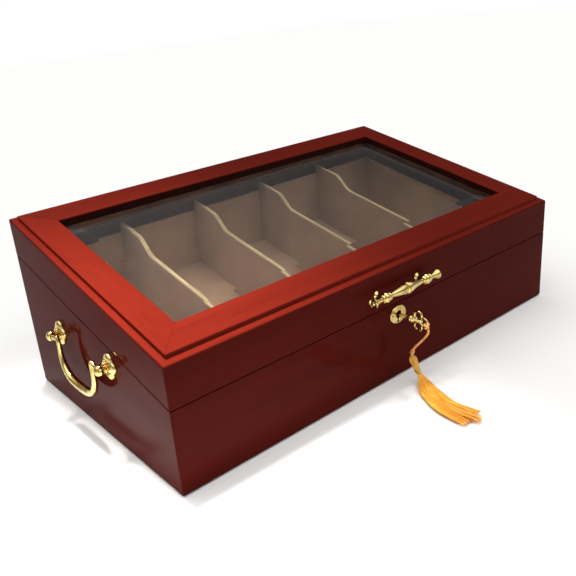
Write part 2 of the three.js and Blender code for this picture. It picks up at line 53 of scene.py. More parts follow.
camera_down = Vector((-0.29921, -0.23072, -0.92587))
camera_forward = Vector((0.54359, 0.75626, -0.36413))

lens = bpy.data.cameras.new("camera")
lens.sensor_width = 36
lens.lens = 42.95
lens.shift_x = 0.085
lens.shift_y = -0.0174
lens.clip_start = 0.01
camera = bpy.data.objects.new("camera", lens)
bpy.context.collection.objects.link(camera)
turned_camera = Matrix((camera_right, -camera_down, -camera_forward)).transposed().to_4x4()
camera.matrix_world = Matrix.Translation(camera_place) @ turned_camera
bpy.context.scene.camera = camera
bpy.context.scene.view_settings.view_transform = "Standard"


# ---- Cord: two strands of orange silk laid round each other, knotted on the outer ring of the key. ----
# The whole cord shows, from its knot down to the tassel. From there it runs on inside the head and ends among
# the threads of the skirt, which are tied round it.
MM = 0.001

cord_route = [
    Vector(point) * MM
    for point in [
        (0, -132.7, 48.2),
        (0, -132.9, 46.2),
        (0, -132, 43.7),
        (0, -130.2, 41.1),
        (0, -128, 38.3),
        (0, -125.5, 35.3),
        (0, -122.9, 32.2),
        (0, -120.4, 29),
        (0, -118.7, 25.7),
        (0, -118, 22.4),
        (0.2, -118.7, 18.6),
        (0.7, -120.6, 14.2),
        (1.2, -122.5, 9.8),
        (1.5, -124.4, 6.6),
        (0.9, -127.6, 4.4),
        (-3, -134.2, 3.5),
    ]
]
strand_radius = 0.5 * MM
strand_lay = 3.4 * MM  # one full turn of the two strands
strand_offset = 0.42 * MM
loop_offset = 0.9 * MM
loop_share = 0.545  # where along the cord the strands part
loop_reach = 0.045


def smooth_line(points, steps):
    """Points on a smooth curve through the given ones, steps for each stretch."""
    ends = [2 * points[0] - points[1], *points, 2 * points[-1] - points[-2]]
    line = []
    for a, b, c, d in zip(ends, ends[1:], ends[2:], ends[3:]):
        for i in range(steps):
            t = i / steps
            bend = 2 * a - 5 * b + 4 * c - d
            twist = 3 * b - a - 3 * c + d
            line.append(0.5 * (2 * b + (c - a) * t + bend * t**2 + twist * t**3))
    return [*line, points[-1]]


def line_frames(line, closed=False):
    """(along, across, up) at every point of a line, turning as little as possible."""
    count = len(line)
    frames = []
    across = None
    for i in range(count):
        before = line[i - 1] if closed or i else line[0]
        after = line[(i + 1) % count] if closed or i < count - 1 else line[-1]
        along = (after - before).normalized()
        if across is None:
            across = along.cross(Vector((0, 0, 1)) if abs(along.z) < 0.9 else Vector((1, 0, 0)))
        across = (across - along * across.dot(along)).normalized()
        frames.append((along, across, along.cross(across)))
    return frames


def skin(bm, rings, closed=False):
    """Faces between rings of equally many points. An open run of rings gets a flat face at each end."""
    pairs = list(zip(rings, rings[1:]))
    if closed:
        pairs.append((rings[-1], rings[0]))
    else:
        bm.faces.new(rings[0])
        bm.faces.new(rings[-1][::-1])
    for low, high in pairs:
        for k in range(len(low)):
            after = (k + 1) % len(low)
            bm.faces.new((low[k], high[k], high[after], low[after]))


def sweep(bm, line, girths, sides=12, closed=False):
    """A round or oval rod along a line. Each point has a radius or a (half width, half height)."""
    turns = [2 * math.pi * k / sides for k in range(sides)]
    rings = []
    for point, (_, across, up), girth in zip(line, line_frames(line, closed), girths):
        wide, high = girth if isinstance(girth, tuple) else (girth, girth)
        ring = [point + across * wide * math.cos(t) + up * high * math.sin(t) for t in turns]
        rings.append([bm.verts.new(corner) for corner in ring])
    skin(bm, rings, closed)


weld_distance = 1e-7  # metres; points closer than this become one


def new_piece(name, bm, material, crease=35):
    """Turns a bmesh into a smooth-shaded object whose edges sharper than the crease angle stay crisp."""
    bmesh.ops.remove_doubles(bm, verts=bm.verts, dist=weld_distance)
    bmesh.ops.recalc_face_normals(bm, faces=bm.faces)
    mesh = bpy.data.meshes.new(name)
    bm.to_mesh(mesh)
    bm.free()
    mesh.materials.append(material)
    mesh.shade_smooth()
    mesh.set_sharp_from_angle(angle=math.radians(crease))
    piece = bpy.data.objects.new(name, mesh)
    bpy.context.collection.objects.link(piece)
    return piece


def new_material(name):
    """(material, its nodes, its links, its shader)"""
    material = bpy.data.materials.new(name)
    material.use_nodes = True
    nodes = material.node_tree.nodes
    return material, nodes, material.node_tree.links, nodes["Principled BSDF"]


def speckle(nodes, links, scale, stretch=(1, 1, 1), detail=4, coordinates=None):
    """A noise texture in the object's own metres: scale is how many grains go to a metre."""
    if coordinates is None:
        coordinates = nodes.new("ShaderNodeTexCoord").outputs["Object"]
    mapping = nodes.new("ShaderNodeMapping")
    mapping.inputs["Scale"].default_value = stretch
    texture = nodes.new("ShaderNodeTexNoise")
    texture.inputs["Scale"].default_value = scale
    texture.inputs["Detail"].default_value = detail
    links.new(coordinates, mapping.inputs["Vector"])
    links.new(mapping.outputs["Vector"], texture.inputs["Vector"])
    return texture.outputs["Fac"]


def colour_between(nodes, links, factor, dark, light, low=0.35, high=0.65):
    ramp = nodes.new("ShaderNodeValToRGB")
    ramp.color_ramp.elements[0].position = low
    ramp.color_ramp.elements[0].color = (*dark, 1)
    ramp.color_ramp.elements[1].position = high
    ramp.color_ramp.elements[1].color = (*light, 1)
    links.new(factor, ramp.inputs["Fac"])
    return ramp.outputs["Color"]


def number_between(nodes, links, factor, low, high):
    spread = nodes.new("ShaderNodeMapRange")
    spread.inputs["From Min"].default_value = 0.3
    spread.inputs["From Max"].default_value = 0.7
    spread.inputs["To Min"].default_value = low
    spread.inputs["To Max"].default_value = high
    links.new(factor, spread.inputs["Value"])
    return spread.outputs["Result"]


def relief(nodes, links, height, depth, target, strength=1):
    """Bump of a real depth in metres, into a shader's normal socket."""
    bump = nodes.new("ShaderNodeBump")
    bump.inputs["Distance"].default_value = depth
    bump.inputs["Strength"].default_value = strength
    links.new(height, bump.inputs["Height"])
    links.new(bump.outputs["Normal"], target)


def multiplied(nodes, links, tone, tint):
    """One colour darkened by another."""
    mix = nodes.new("ShaderNodeMix")
    mix.data_type = "RGBA"
    mix.blend_type = "MULTIPLY"
    mix.inputs["Factor"].default_value = 1
    links.new(tone, mix.inputs["A"])
    links.new(tint, mix.inputs["B"])
    return mix.outputs["Result"]


def silk(name, dark, light, along=(1, 0.05, 0.3)):
    """Silk thread: shiny, soft, with darker and lighter filaments."""
    material, nodes, links, shader = new_material(name)
    filaments = speckle(nodes, links, 1400, along)
    links.new(colour_between(nodes, links, filaments, dark, light), shader.inputs["Base Color"])
    shader.inputs["Roughness"].default_value = 0.48
    shader.inputs["Sheen Weight"].default_value = 0.35
    shader.inputs["Sheen Roughness"].default_value = 0.4
    shader.inputs["Subsurface Weight"].default_value = 0.12
    shader.inputs["Subsurface Scale"].default_value = 0.001
    relief(nodes, links, filaments, 0.0001, shader.inputs["Normal"], 0.5)
    return material


cord_silk = silk("cord_silk", (0.72, 0.24, 0.035), (0.95, 0.47, 0.11))


def twisted_strands(line, lay, spread, radius):
    """Two strands wound round a line. Spread gives how far each stands off it at a share of its length."""
    bm = bmesh.new()
    frames = line_frames(line)
    for start in (0, math.pi):
        run = 0
        strand = []
        for i, (point, (_, across, up)) in enumerate(zip(line, frames)):
            if i:
                run += (point - line[i - 1]).length
            turn = start + 2 * math.pi * run / lay
            reach = spread(i / (len(line) - 1))
            strand.append(point + across * reach * math.cos(turn) + up * reach * math.sin(turn))
        sweep(bm, strand, [radius] * len(strand), 8)
    return bm


def strand_spread(share):
    """The strands lie close, and open into a small loop just above the tassel."""
    loop = math.exp(-(((share - loop_share) / loop_reach) ** 2))
    return strand_offset + loop_offset * loop


cord_line = smooth_line(cord_route, 10)
cord_bm = twisted_strands(cord_line, strand_lay, strand_spread, strand_radius)
cord = new_piece("cord_strands", cord_bm, cord_silk)
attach(cord, "case")
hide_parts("cord")


# ---- Tassel: a slender head of silk that tapers to a bound neck, and a skirt of threads on the table. ----
# The threads start under the binding at the neck, fan out flat and are cut off unevenly.
tassel_silk = silk("tassel_silk", (0.9, 0.31, 0.01), (1.0, 0.55, 0.04), (0.6, 0.1, 1))
head_silk = silk("head_silk", (0.52, 0.27, 0.02), (0.8, 0.47, 0.06), (1, 0.3, 0.1))

head_top = Vector((0, -118, 21.8)) * MM
head_foot = Vector((1.4, -123.2, 8)) * MM
head_steps = 24
head_threads = 30
head_thread = 0.27 * MM
head_twist = 0.5  # radians that a thread turns round the head
head_core = 0.93  # girth of the core, and of the threads' own circle, as a share of the head's
head_wrap = 0.94
bulb_radius = 2.95 * MM
neck_radius = 1.65 * MM
widest_share = 0.24  # where along the head it is thickest


def head_girth(share):
    if share < widest_share:
        return bulb_radius * math.sqrt(max(0.03, 1 - (1 - share / widest_share) ** 2))
    taper = min(1, (share - widest_share) / (0.8 - widest_share))
    return bulb_radius + (neck_radius - bulb_radius) * taper


def tassel_head():
    bm = bmesh.new()
    axis = [head_top.lerp(head_foot, i / head_steps) for i in range(head_steps + 1)]
    shares = [i / head_steps for i in range(head_steps + 1)]
    sweep(bm, axis, [head_girth(share) * head_core for share in shares], 24)
    _, across, up = line_frames(axis)[0]
    for k in range(head_threads):
        turn = 2 * math.pi * k / head_threads
        thread = []
        for share, point in zip(shares, axis):
            lean = turn + head_twist * share
            reach = head_girth(share) * head_wrap
            thread.append(point + (across * math.cos(lean) + up * math.sin(lean)) * reach)
        sweep(bm, thread, [head_thread] * len(thread), 6)
    return bm


steps_a_turn = 24
wire_pitch = 1.9  # distance between two turns, in wire radii


def binding(name, centre, along, radius, turns, wire):
    """A thread wound round a neck a few times."""
    across = along.cross(Vector((1, 0, 0))).normalized()
    up = along.cross(across)
    winding = []
    for i in range(turns * steps_a_turn + 1):
        turn = 2 * math.pi * i / steps_a_turn
        shift = along * wire * wire_pitch * (i / steps_a_turn - turns / 2)
        winding.append(centre + shift + (across * math.cos(turn) + up * math.sin(turn)) * radius)
    bm = bmesh.new()
    sweep(bm, winding, [wire] * len(winding), 6)
    return new_piece(name, bm, head_silk)


head = new_piece("tassel_bulb", tassel_head(), head_silk)
head_way = (head_foot - head_top).normalized()
binding_place = head_top.lerp(head_foot, 0.8)
neck_binding = binding("tassel_binding", binding_place, head_way, 2.1 * MM, 5, 0.28 * MM)

skirt_route = [
    Vector(point) * MM
    for point in [
        (1.6, -123.9, 6.9),
        (1.4, -126.8, 4.1),
        (-1.2, -131.5, 3.1),
        (-7.8, -141.5, 3),
        (-14.4, -160, 2.9),
        (-13.6, -185, 2.6),
    ]
]
skirt_threads = 230
thread_radius = 0.44 * MM
skirt_start_half = 2.1 * MM
skirt_end_half = 10.8 * MM
skirt_start_depth = 2.1 * MM
skirt_end_depth = 1.7 * MM
skirt_draw = random.Random(11)


def tassel_skirt():
    line = smooth_line(skirt_route, 5)
    across_line = []
    for along, _, _ in line_frames(line):
        across_line.append(Vector((along.y, -along.x, 0)).normalized())
    bm = bmesh.new()
    for _ in range(skirt_threads):
        turn = skirt_draw.uniform(0, 2 * math.pi)
        reach = math.sqrt(skirt_draw.uniform(0, 1))
        side = reach * math.cos(turn)
        depth = reach * math.sin(turn)
        cut_at = skirt_draw.uniform(0.93, 1) - 0.04 * abs(side)
        sway = skirt_draw.uniform(-1, 1)
        waves = skirt_draw.uniform(1.5, 3)
        phase = skirt_draw.uniform(0, 6.28)
        last = round(cut_at * (len(line) - 1))
        thread = []
        for i in range(last + 1):
            share = i / (len(line) - 1)
            half = skirt_start_half + (skirt_end_half - skirt_start_half) * share**1.15
            thick = skirt_start_depth + (skirt_end_depth - skirt_start_depth) * share
            wander = 0.7 * MM * share * math.sin(waves * 2 * math.pi * share + phase) * sway
            place = line[i] + across_line[i] * (side * half + wander)
            place.z += depth * thick
            place.z = max(place.z, thread_radius + 0.1 * MM)
            thread.append(place)
        sweep(bm, thread, [thread_radius * (1 - 0.45 * (i / last) ** 6) for i in range(last + 1)], 5)
    return bm


skirt = new_piece("tassel_threads", tassel_skirt(), tassel_silk, 80)
for piece, node in ((head, "tassel_head"), (neck_binding, "tassel_head"), (skirt, "tassel_skirt")):
    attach(piece, "case")
    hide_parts(node)


knot_middle = cord_route[0] + Vector((0, 1.3, 2.1)) * MM
knot_loops = [(0.5, 1.9, 0.66), (-0.7, 2, 0.68), (1.7, 1.5, 0.62)]  # lean, radius and wire of each turn
knot_steps = 20
knot_wave = 0.25


def cord_knot():
    """The cord goes round the outer ring of the key three times and is drawn tight."""
    bm = bmesh.new()
    for lean, radius, wire in knot_loops:
        tilt = Matrix.Rotation(lean, 3, "X") @ Matrix.Rotation(lean, 3, "Y")
        loop = []
        for i in range(knot_steps):
            turn = 2 * math.pi * i / knot_steps
            rise = knot_wave * math.sin(2 * turn)
            flat = Vector((radius * math.cos(turn), radius * math.sin(turn), rise))
            loop.append(knot_middle + (tilt @ flat) * MM)
        sweep(bm, loop, [wire * MM] * knot_steps, 8, closed=True)
    return bm


knot = new_piece("cord_knot", cord_knot(), cord_silk)
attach(knot, "case")


# ---- Base: four cherry boards, mitred at the corners, stained dark and lacquered to a gloss. ----
# They stand plumb, and their upper edges follow the slant of the lid. The front board is cut for the lock
# and the back one for the hinge leaves.
_, back_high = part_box("base_back")
front_low, front_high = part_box("base_front")
slant = (back_high.z - front_high.z) / (back_high.y - front_high.y)
box_half_width = front_high.x
box_half_depth = back_high.y
wall = front_high.y - front_low.y
wall_foot = front_low.z


def seam_height(y):
    """Height of the joint between base and lid."""
    return back_high.z + (y - back_high.y) * slant


def on_slant(bm):
    """Heights measured from the seam become heights from the table."""
    for vert in bm.verts:
        vert.co.z += seam_height(vert.co.y)
    return bm


def eased(outline, radii, steps=3):
    """An outline of (x, y) pairs with its corners rounded, each by its own radius."""
    count = len(outline)
    rounded = []
    for i, radius in enumerate(radii):
        corner = Vector(outline[i])
        if not radius:
            rounded.append(tuple(corner))
            continue
        before = (Vector(outline[i - 1]) - corner).normalized() * radius
        after = (Vector(outline[(i + 1) % count]) - corner).normalized() * radius
        for k in range(steps + 1):
            t = k / steps
            rounded.append(tuple(corner + before * (1 - t) ** 2 + after * t**2))
    return rounded


SIDES = ("front", "right", "back", "left")


def place_on_side(side, run, inward):
    """(x, y) of a point run along one side of the box, and inward from its outer face."""
    if side == "front":
        return run, inward - box_half_depth
    if side == "back":
        return -run, box_half_depth - inward
    if side == "right":
        return box_half_width - inward, run
    return inward - box_half_width, -run


def board(side, section, rise, corner=0.0, joint=0.0):
    """A mitred board along one side. Section is (inward, height) pairs, and rise(height, y) gives its place.
    Corner is the radius of the box's upright edges, and joint is the hairline left at each mitre."""
    half = box_half_width if side in ("front", "back") else box_half_depth
    steps = 4 if corner else 0
    stations = []
    for end in (-1, 1):
        for k in range(steps + 1):
            turn = math.radians(45) * (1 - k / steps if end < 0 else k / steps) if steps else 0
            ring = []
            for inward, height in section:
                run = half - inward - joint
                depth = inward
                if inward < corner:
                    run = half - corner + (corner - inward) * math.sin(turn) - joint
                    depth = corner - (corner - inward) * math.cos(turn)
                x, y = place_on_side(side, end * run, depth)
                ring.append(Vector((x, y, rise(height, y))))
            stations.append(ring)
    bm = bmesh.new()
    skin(bm, [[bm.verts.new(point) for point in ring] for ring in stations])
    bmesh.ops.remove_doubles(bm, verts=bm.verts, dist=weld_distance)
    bmesh.ops.dissolve_degenerate(bm, dist=weld_distance, edges=bm.edges)
    return bm


def carve(piece, *cutters):
    """Cuts the cutters out of a piece and throws them away."""
    for cutter in cutters:
        cut = piece.modifiers.new("cut", "BOOLEAN")
        cut.operation = "DIFFERENCE"
        cut.solver = "EXACT"
        cut.object = cutter
    seen = piece.evaluated_get(bpy.context.evaluated_depsgraph_get())
    cut_mesh = bpy.data.meshes.new_from_object(seen)
    piece.modifiers.clear()
    piece.data = cut_mesh
    for cutter in cutters:
        bpy.data.objects.remove(cutter)


def flat_faces(piece):
    """Keeps broad faces flat to the eye beside their rounded edges."""
    piece.modifiers.new("flat_faces", "WEIGHTED_NORMAL").keep_sharp = True


def lacquered_wood(name, grain, dark, light):
    """Stained cherry under clear lacquer. Grain is the stretch of the figure along x, y and z."""
    material, nodes, links, shader = new_material(name)
    figure = speckle(nodes, links, 34, grain, 6)
    pores = speckle(nodes, links, 420, grain, 2)
    tone = colour_between(nodes, links, figure, dark, light, 0.3, 0.72)
    open_pores = colour_between(nodes, links, pores, (0.9, 0.87, 0.85), (1, 1, 1), 0.3, 0.46)
    links.new(multiplied(nodes, links, tone, open_pores), shader.inputs["Base Color"])
    links.new(number_between(nodes, links, figure, 0.3, 0.42), shader.inputs["Roughness"])
    shader.inputs["Specular IOR Level"].default_value = 0
    shader.inputs["Coat Weight"].default_value = 1
    shader.inputs["Coat Roughness"].default_value = 0.03
    shader.inputs["Coat IOR"].default_value = 1.065
    relief(nodes, links, pores, 0.00002, shader.inputs["Normal"], 0.4)
    ripple = speckle(nodes, links, 55, (1, 1, 1), 1)
    relief(nodes, links, ripple, 0.00006, shader.inputs["Coat Normal"], 0.25)
    return material


along_x = (0.05, 1, 1)
along_y = (1, 0.05, 1)
body_dark, body_light = (0.045, 0.0045, 0.0032), (0.07, 0.007, 0.0047)
case_wood = {
    side: lacquered_wood(f"cherry_{side}", grain, body_dark, body_light)
    for side, grain in zip(SIDES, (along_x, along_y, along_x, along_y))
}

corner_radius = 1.2 * MM
edge_radius = 0.5 * MM
reference_height = 1.0  # any height well above the foot; it only tells the two ends of a board apart


def base_rise(height, y):
    """The foot of a board is level, and its upper edge follows the seam."""
    return height if height < reference_height / 2 else height - reference_height + seam_height(y)


def slanted_block(name, low, high):
    """A cutter between two corners whose heights are measured from the seam."""
    bm = bmesh.new()
    bmesh.ops.create_cube(bm, size=1)
    for vert in bm.verts:
        vert.co = Vector([a + (b - a) * (share + 0.5) for a, b, share in zip(low, high, vert.co)])
    return new_piece(name, on_slant(bm), case_wood["front"])


clearance = 0.1 * MM
overcut = 1 * MM  # how far a cutter stands out of what it cuts
base_section = eased(
    [(0, wall_foot), (0, reference_height), (wall, reference_height), (wall, wall_foot)],
    [0.8 * MM, edge_radius, edge_radius, 0],
)
base_boards = {}
for side in SIDES:
    plank_bm = board(side, base_section, base_rise, corner_radius)
    plank = new_piece(f"base_board_{side}", plank_bm, case_wood[side])
    base_boards[side] = plank
    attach(plank, "case")
    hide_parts(f"base_{side}")

case_low, case_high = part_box("lock_case")
key_low, key_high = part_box("key")
plate_low, plate_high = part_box("lock_plate")
lock_middle = (plate_low.z + plate_high.z) / 2
lock_case_drop = case_low.z - seam_height(case_low.y)
mortise = slanted_block(
    "mortise",
    (case_low.x - clearance, case_low.y - clearance, lock_case_drop - clearance),
    (case_high.x + clearance, wall - box_half_depth + overcut, overcut),
)


def keyhole_cutter(name, front, back, radius, slot_half, slot_drop):
    """A round hole with a slot below it."""
    bm = bmesh.new()
    outline = []
    slot_angle = math.asin(slot_half / radius)
    steps = 24
    for k in range(steps + 1):
        turn = -math.pi / 2 + slot_angle + (2 * math.pi - 2 * slot_angle) * k / steps
        outline.append((radius * math.cos(turn), radius * math.sin(turn)))
    outline += [(-slot_half, -slot_drop), (slot_half, -slot_drop)]
    skin(bm, [[bm.verts.new((x, y, lock_middle + z)) for x, z in outline] for y in (front, back)])
    return new_piece(name, bm, case_wood["front"])


keyhole_radius = 3.4 * MM
key_slot_half = 1.1 * MM
key_slot_drop = 6.3 * MM
key_tunnel = keyhole_cutter(
    "key_tunnel",
    -box_half_depth - overcut,
    case_low.y + overcut,
    keyhole_radius,
    key_slot_half,
    key_slot_drop,
)
carve(base_boards["front"], mortise, key_tunnel)

lower_recess = 1.4 * MM
upper_recess = 2 * MM
hinge_recesses = []
for side in ("left", "right"):
    for level in ("lower", "upper"):
        leaf_low, leaf_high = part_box(f"{side}_hinge_{level}")
        leaf_in = min(leaf_low.y, box_half_depth)
        bottom, top = (-lower_recess, overcut) if level == "lower" else (-overcut, upper_recess)
        recess = slanted_block(
            f"{side}_{level}_recess",
            (leaf_low.x - clearance, leaf_in - clearance, bottom),
            (leaf_high.x + clearance, box_half_depth + overcut, top),
        )
        hinge_recesses.append((side, level, recess))
carve(base_boards["back"], *[recess for _, level, recess in hinge_recesses if level == "lower"])
for plank in base_boards.values():
    flat_faces(plank)


# ---- Underside: a plain board let in between the walls, and a dark felt pad glued under everything. ----
# The felt keeps the lacquer off the table; it stops short of the edges and has cut, slightly fuzzy sides.
def figured(name, scale, stretch, detail, colours, reach, roughness, depth, strength):
    """(material, its shader): dull, with one figure that shows in its colour and its relief."""
    material, nodes, links, shader = new_material(name)
    figure = speckle(nodes, links, scale, stretch, detail)
    links.new(colour_between(nodes, links, figure, *colours, *reach), shader.inputs["Base Color"])
    shader.inputs["Roughness"].default_value = roughness
    relief(nodes, links, figure, depth, shader.inputs["Normal"], strength)
    return material, shader


board_colours = ((0.3, 0.2, 0.11), (0.46, 0.34, 0.21))
bare_board, _ = figured("bare_board", 40, (0.06, 1, 1), 6, board_colours, (0.35, 0.65), 0.75, 0.0002, 0.4)
for node in ("bottom_panel", "tray_floor"):
    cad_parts[node].data.materials.clear()
    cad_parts[node].data.materials.append(bare_board)

felt_colours = ((0.012, 0.008, 0.007), (0.045, 0.032, 0.027))
felt, felt_shader = figured("felt", 1800, (1, 1, 1), 5, felt_colours, (0.35, 0.65), 1, 0.0004, 0.8)
felt_shader.inputs["Sheen Weight"].default_value = 0.5

felt_low, felt_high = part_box("base_felt")
felt_corner = 3 * MM
felt_outline = eased(
    [
        (felt_low.x, felt_low.y),
        (felt_high.x, felt_low.y),
        (felt_high.x, felt_high.y),
        (felt_low.x, felt_high.y),
    ],
    [felt_corner] * 4,
    6,
)
felt_levels = [
    (0.15 * MM, felt_low.z),
    (0, felt_low.z + 0.2 * MM),
    (0, felt_high.z - 0.15 * MM),
    (0.1 * MM, felt_high.z),
]  # inset and height of each ring of the pad's edge
felt_bm = bmesh.new()
felt_rings = []
for inset, height in felt_levels:
    shrink = 1 - inset / felt_high.y
    felt_rings.append([felt_bm.verts.new((x * shrink, y * shrink, height)) for x, y in felt_outline])
skin(felt_bm, felt_rings)
felt_pad = new_piece("felt_pad", felt_bm, felt)
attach(felt_pad, "case")
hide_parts("base_felt")


# ---- Linings: brown suede cloth glued over thin card on the four walls and on the tray floor. ----
# The cloth is turned over the card's upper edge, so the edge is soft and round.
def suede_cloth(name, dark, light):
    """Suede: a short nap that is darker and lighter in patches where it was brushed."""
    material, nodes, links, shader = new_material(name)
    brushed = speckle(nodes, links, 26, (1, 1, 1), 3)
    nap = speckle(nodes, links, 2600, (1, 1, 1), 3)
    tone = colour_between(nodes, links, brushed, dark, light, 0.3, 0.7)
    hairs = colour_between(nodes, links, nap, (0.72, 0.7, 0.68), (1, 1, 1), 0.35, 0.6)
    links.new(multiplied(nodes, links, tone, hairs), shader.inputs["Base Color"])
    shader.inputs["Roughness"].default_value = 0.95
    shader.inputs["Specular IOR Level"].default_value = 0.15
    shader.inputs["Sheen Weight"].default_value = 0.4
    shader.inputs["Sheen Roughness"].default_value = 0.55
    relief(nodes, links, nap, 0.00025, shader.inputs["Normal"], 0.6)
    return material


suede = suede_cloth("brown_suede", (0.41, 0.245, 0.145), (0.53, 0.325, 0.195))


def lid_rise(height, y):
    return seam_height(y) + height


lining_low, lining_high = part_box("front_lining")
lining_outer = lining_low.y + box_half_depth
lining_inner = lining_high.y + box_half_depth
lining_top = lining_high.z - seam_height(lining_high.y)
lining_foot = lining_low.z - seam_height(lining_low.y)
lining_section = eased(
    [
        (lining_outer, lining_foot),
        (lining_outer, lining_top),
        (lining_inner, lining_top),
        (lining_inner, lining_foot),
    ],
    [0, 0.6 * MM, 0.7 * MM, 0],
    4,
)
for side in SIDES:
    lining = new_piece(f"{side}_suede", board(side, lining_section, lid_rise), suede)
    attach(lining, "case")
    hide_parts(f"{side}_lining")

carpet_low, carpet_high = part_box("floor_lining")
carpet_thick = carpet_high.z - carpet_low.z - (carpet_high.y - carpet_low.y) * slant
carpet_drop = carpet_high.z - seam_height(carpet_high.y)
carpet_bm = bmesh.new()
carpet_cells = (66, 30)
carpet_waves = 45  # for a metre
carpet_loose = 0.18 * MM
carpet_rows = []
for level in (0, 1):
    rows = []
    for j in range(carpet_cells[1] + 1):
        row = []
        for i in range(carpet_cells[0] + 1):
            x = carpet_low.x + (carpet_high.x - carpet_low.x) * i / carpet_cells[0]
            y = carpet_low.y + (carpet_high.y - carpet_low.y) * j / carpet_cells[1]
            loose = (noise.noise(Vector((x, y, 0)) * carpet_waves) - 1) * carpet_loose
            height = carpet_drop + (loose if level else -carpet_thick)
            row.append(carpet_bm.verts.new((x, y, height)))
        rows.append(row)
    carpet_rows.append(rows)
for level, rows in enumerate(carpet_rows):
    for first, second in zip(rows, rows[1:]):
        for i in range(carpet_cells[0]):
            corners = (first[i], first[i + 1], second[i + 1], second[i])
            carpet_bm.faces.new(corners if level else tuple(reversed(corners)))
lower_rows, upper_rows = carpet_rows
for lower, upper in (
    (lower_rows[0], upper_rows[0]),
    (lower_rows[-1][::-1], upper_rows[-1][::-1]),
    ([row[-1] for row in lower_rows], [row[-1] for row in upper_rows]),
    ([row[0] for row in lower_rows][::-1], [row[0] for row in upper_rows][::-1]),
):
    for a, b, c, d in zip(lower, lower[1:], upper[1:], upper):
        carpet_bm.faces.new((a, b, c, d))
carpet = new_piece("floor_suede", on_slant(carpet_bm), suede)
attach(carpet, "case")
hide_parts("floor_lining")


# ---- Dividers: thin pale boards with suede glued on both faces, their upper edges left bare. ----
# Each edge runs along the seam and then sweeps up in an S to a raised back.
edge_colours = ((0.4, 0.285, 0.13), (0.62, 0.47, 0.25))
divider_edge, _ = figured("divider_edge", 160, (1, 0.12, 1), 5, edge_colours, (0.3, 0.7), 0.55, 0.0001, 0.5)

divider_board = 2.8 * MM
ear_length = 26 * MM
ear_sweep = 19 * MM
sweep_steps = 20
divider_drop = -2 * MM  # its low edge, from the seam
edge_stands = 0.3 * MM  # bare edge above the suede


def divider_outline(low, high, drop, ear):
    """(y, height from the seam) round a divider, from its front foot."""
    ear_start = high.y - ear_length
    sweep_start = ear_start - ear_sweep
    foot = low.z - seam_height(low.y)
    outline = [(low.y, foot), (high.y, foot), (high.y, ear), (ear_start, ear)]
    for k in range(1, sweep_steps):
        t = k / sweep_steps
        bend = 3 * t * t - 2 * t**3
        outline.append((ear_start + (sweep_start - ear_start) * t, ear + (drop - ear) * bend))
    return [*outline, (sweep_start, drop), (low.y, drop)]


def upright_sheet(bm, outline, x0, x1, soft=0.12 * MM):
    """A sheet across x with slightly rounded arrises."""
    middle = Vector((sum(p[0] for p in outline), sum(p[1] for p in outline))) / len(outline)
    rings = []
    for x, inset in ((x0, soft), (x0 + soft, 0), (x1 - soft, 0), (x1, soft)):
        ring = []
        for y, z in outline:
            inward = (middle - Vector((y, z))).normalized() * inset
            ring.append(bm.verts.new((x, y + inward.x, z + inward.y)))
        rings.append(ring)
    skin(bm, rings)


for i in range(1, 5):
    node = f"divider_{i}"
    low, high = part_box(node)
    middle = (low.x + high.x) / 2
    ear = high.z - seam_height(high.y)
    board_left, board_right = middle - divider_board / 2, middle + divider_board / 2
    core_bm = bmesh.new()
    upright_sheet(core_bm, divider_outline(low, high, divider_drop, ear), board_left, board_right)
    core = new_piece(f"{node}_board", on_slant(core_bm), divider_edge)
    cloth_bm = bmesh.new()
    cloth_outline = divider_outline(low, high, divider_drop - edge_stands, ear - edge_stands)
    upright_sheet(cloth_bm, cloth_outline, low.x, board_left, 0.2 * MM)
    upright_sheet(cloth_bm, cloth_outline, board_right, high.x, 0.2 * MM)
    cloth = new_piece(f"{node}_suede", on_slant(cloth_bm), suede)
    for piece, finish in ((core, "divider_edge"), (cloth, "suede")):
        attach(piece, "case")
        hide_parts(node)


# ---- Lid: four mitred boards with a rounded rim, stained and lacquered like the base. ----
# The rim's up-facing top gets the brighter lacquer of the frame as painted light from the lamp above. The
# front board takes the bolt of the lock in a pocket under a brass strike.
lid_low, lid_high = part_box("lid_front")
lid_top = lid_high.z - seam_height(lid_high.y)
lid_foot = lid_low.z - seam_height(lid_low.y)
rim_radius = 1.8 * MM
painted_light_depth = 1 * MM  # how far down from the top, and how squarely upwards, a face gets the rim's painted light
painted_light_facing = 0.8
lid_section = eased(
    [(0, lid_foot), (0, lid_top), (wall, lid_top), (wall, lid_foot)],
    [edge_radius, rim_radius, 0, edge_radius],
    5,
)
rail_dark, rail_light = (0.1, 0.0085, 0.0045), (0.135, 0.0115, 0.006)
frame_stain_and_painted_rim_light = {
    side: lacquered_wood(f"bright_cherry_{side}", grain, rail_dark, rail_light)
    for side, grain in zip(SIDES, (along_x, along_y, along_x, along_y))
}
lid_boards = {}
for side in SIDES:
    plank_bm = board(side, lid_section, lid_rise, corner_radius)
    plank = new_piece(f"lid_board_{side}", plank_bm, case_wood[side])
    lid_boards[side] = plank
    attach(plank, "lid")
    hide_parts(f"lid_{side}")

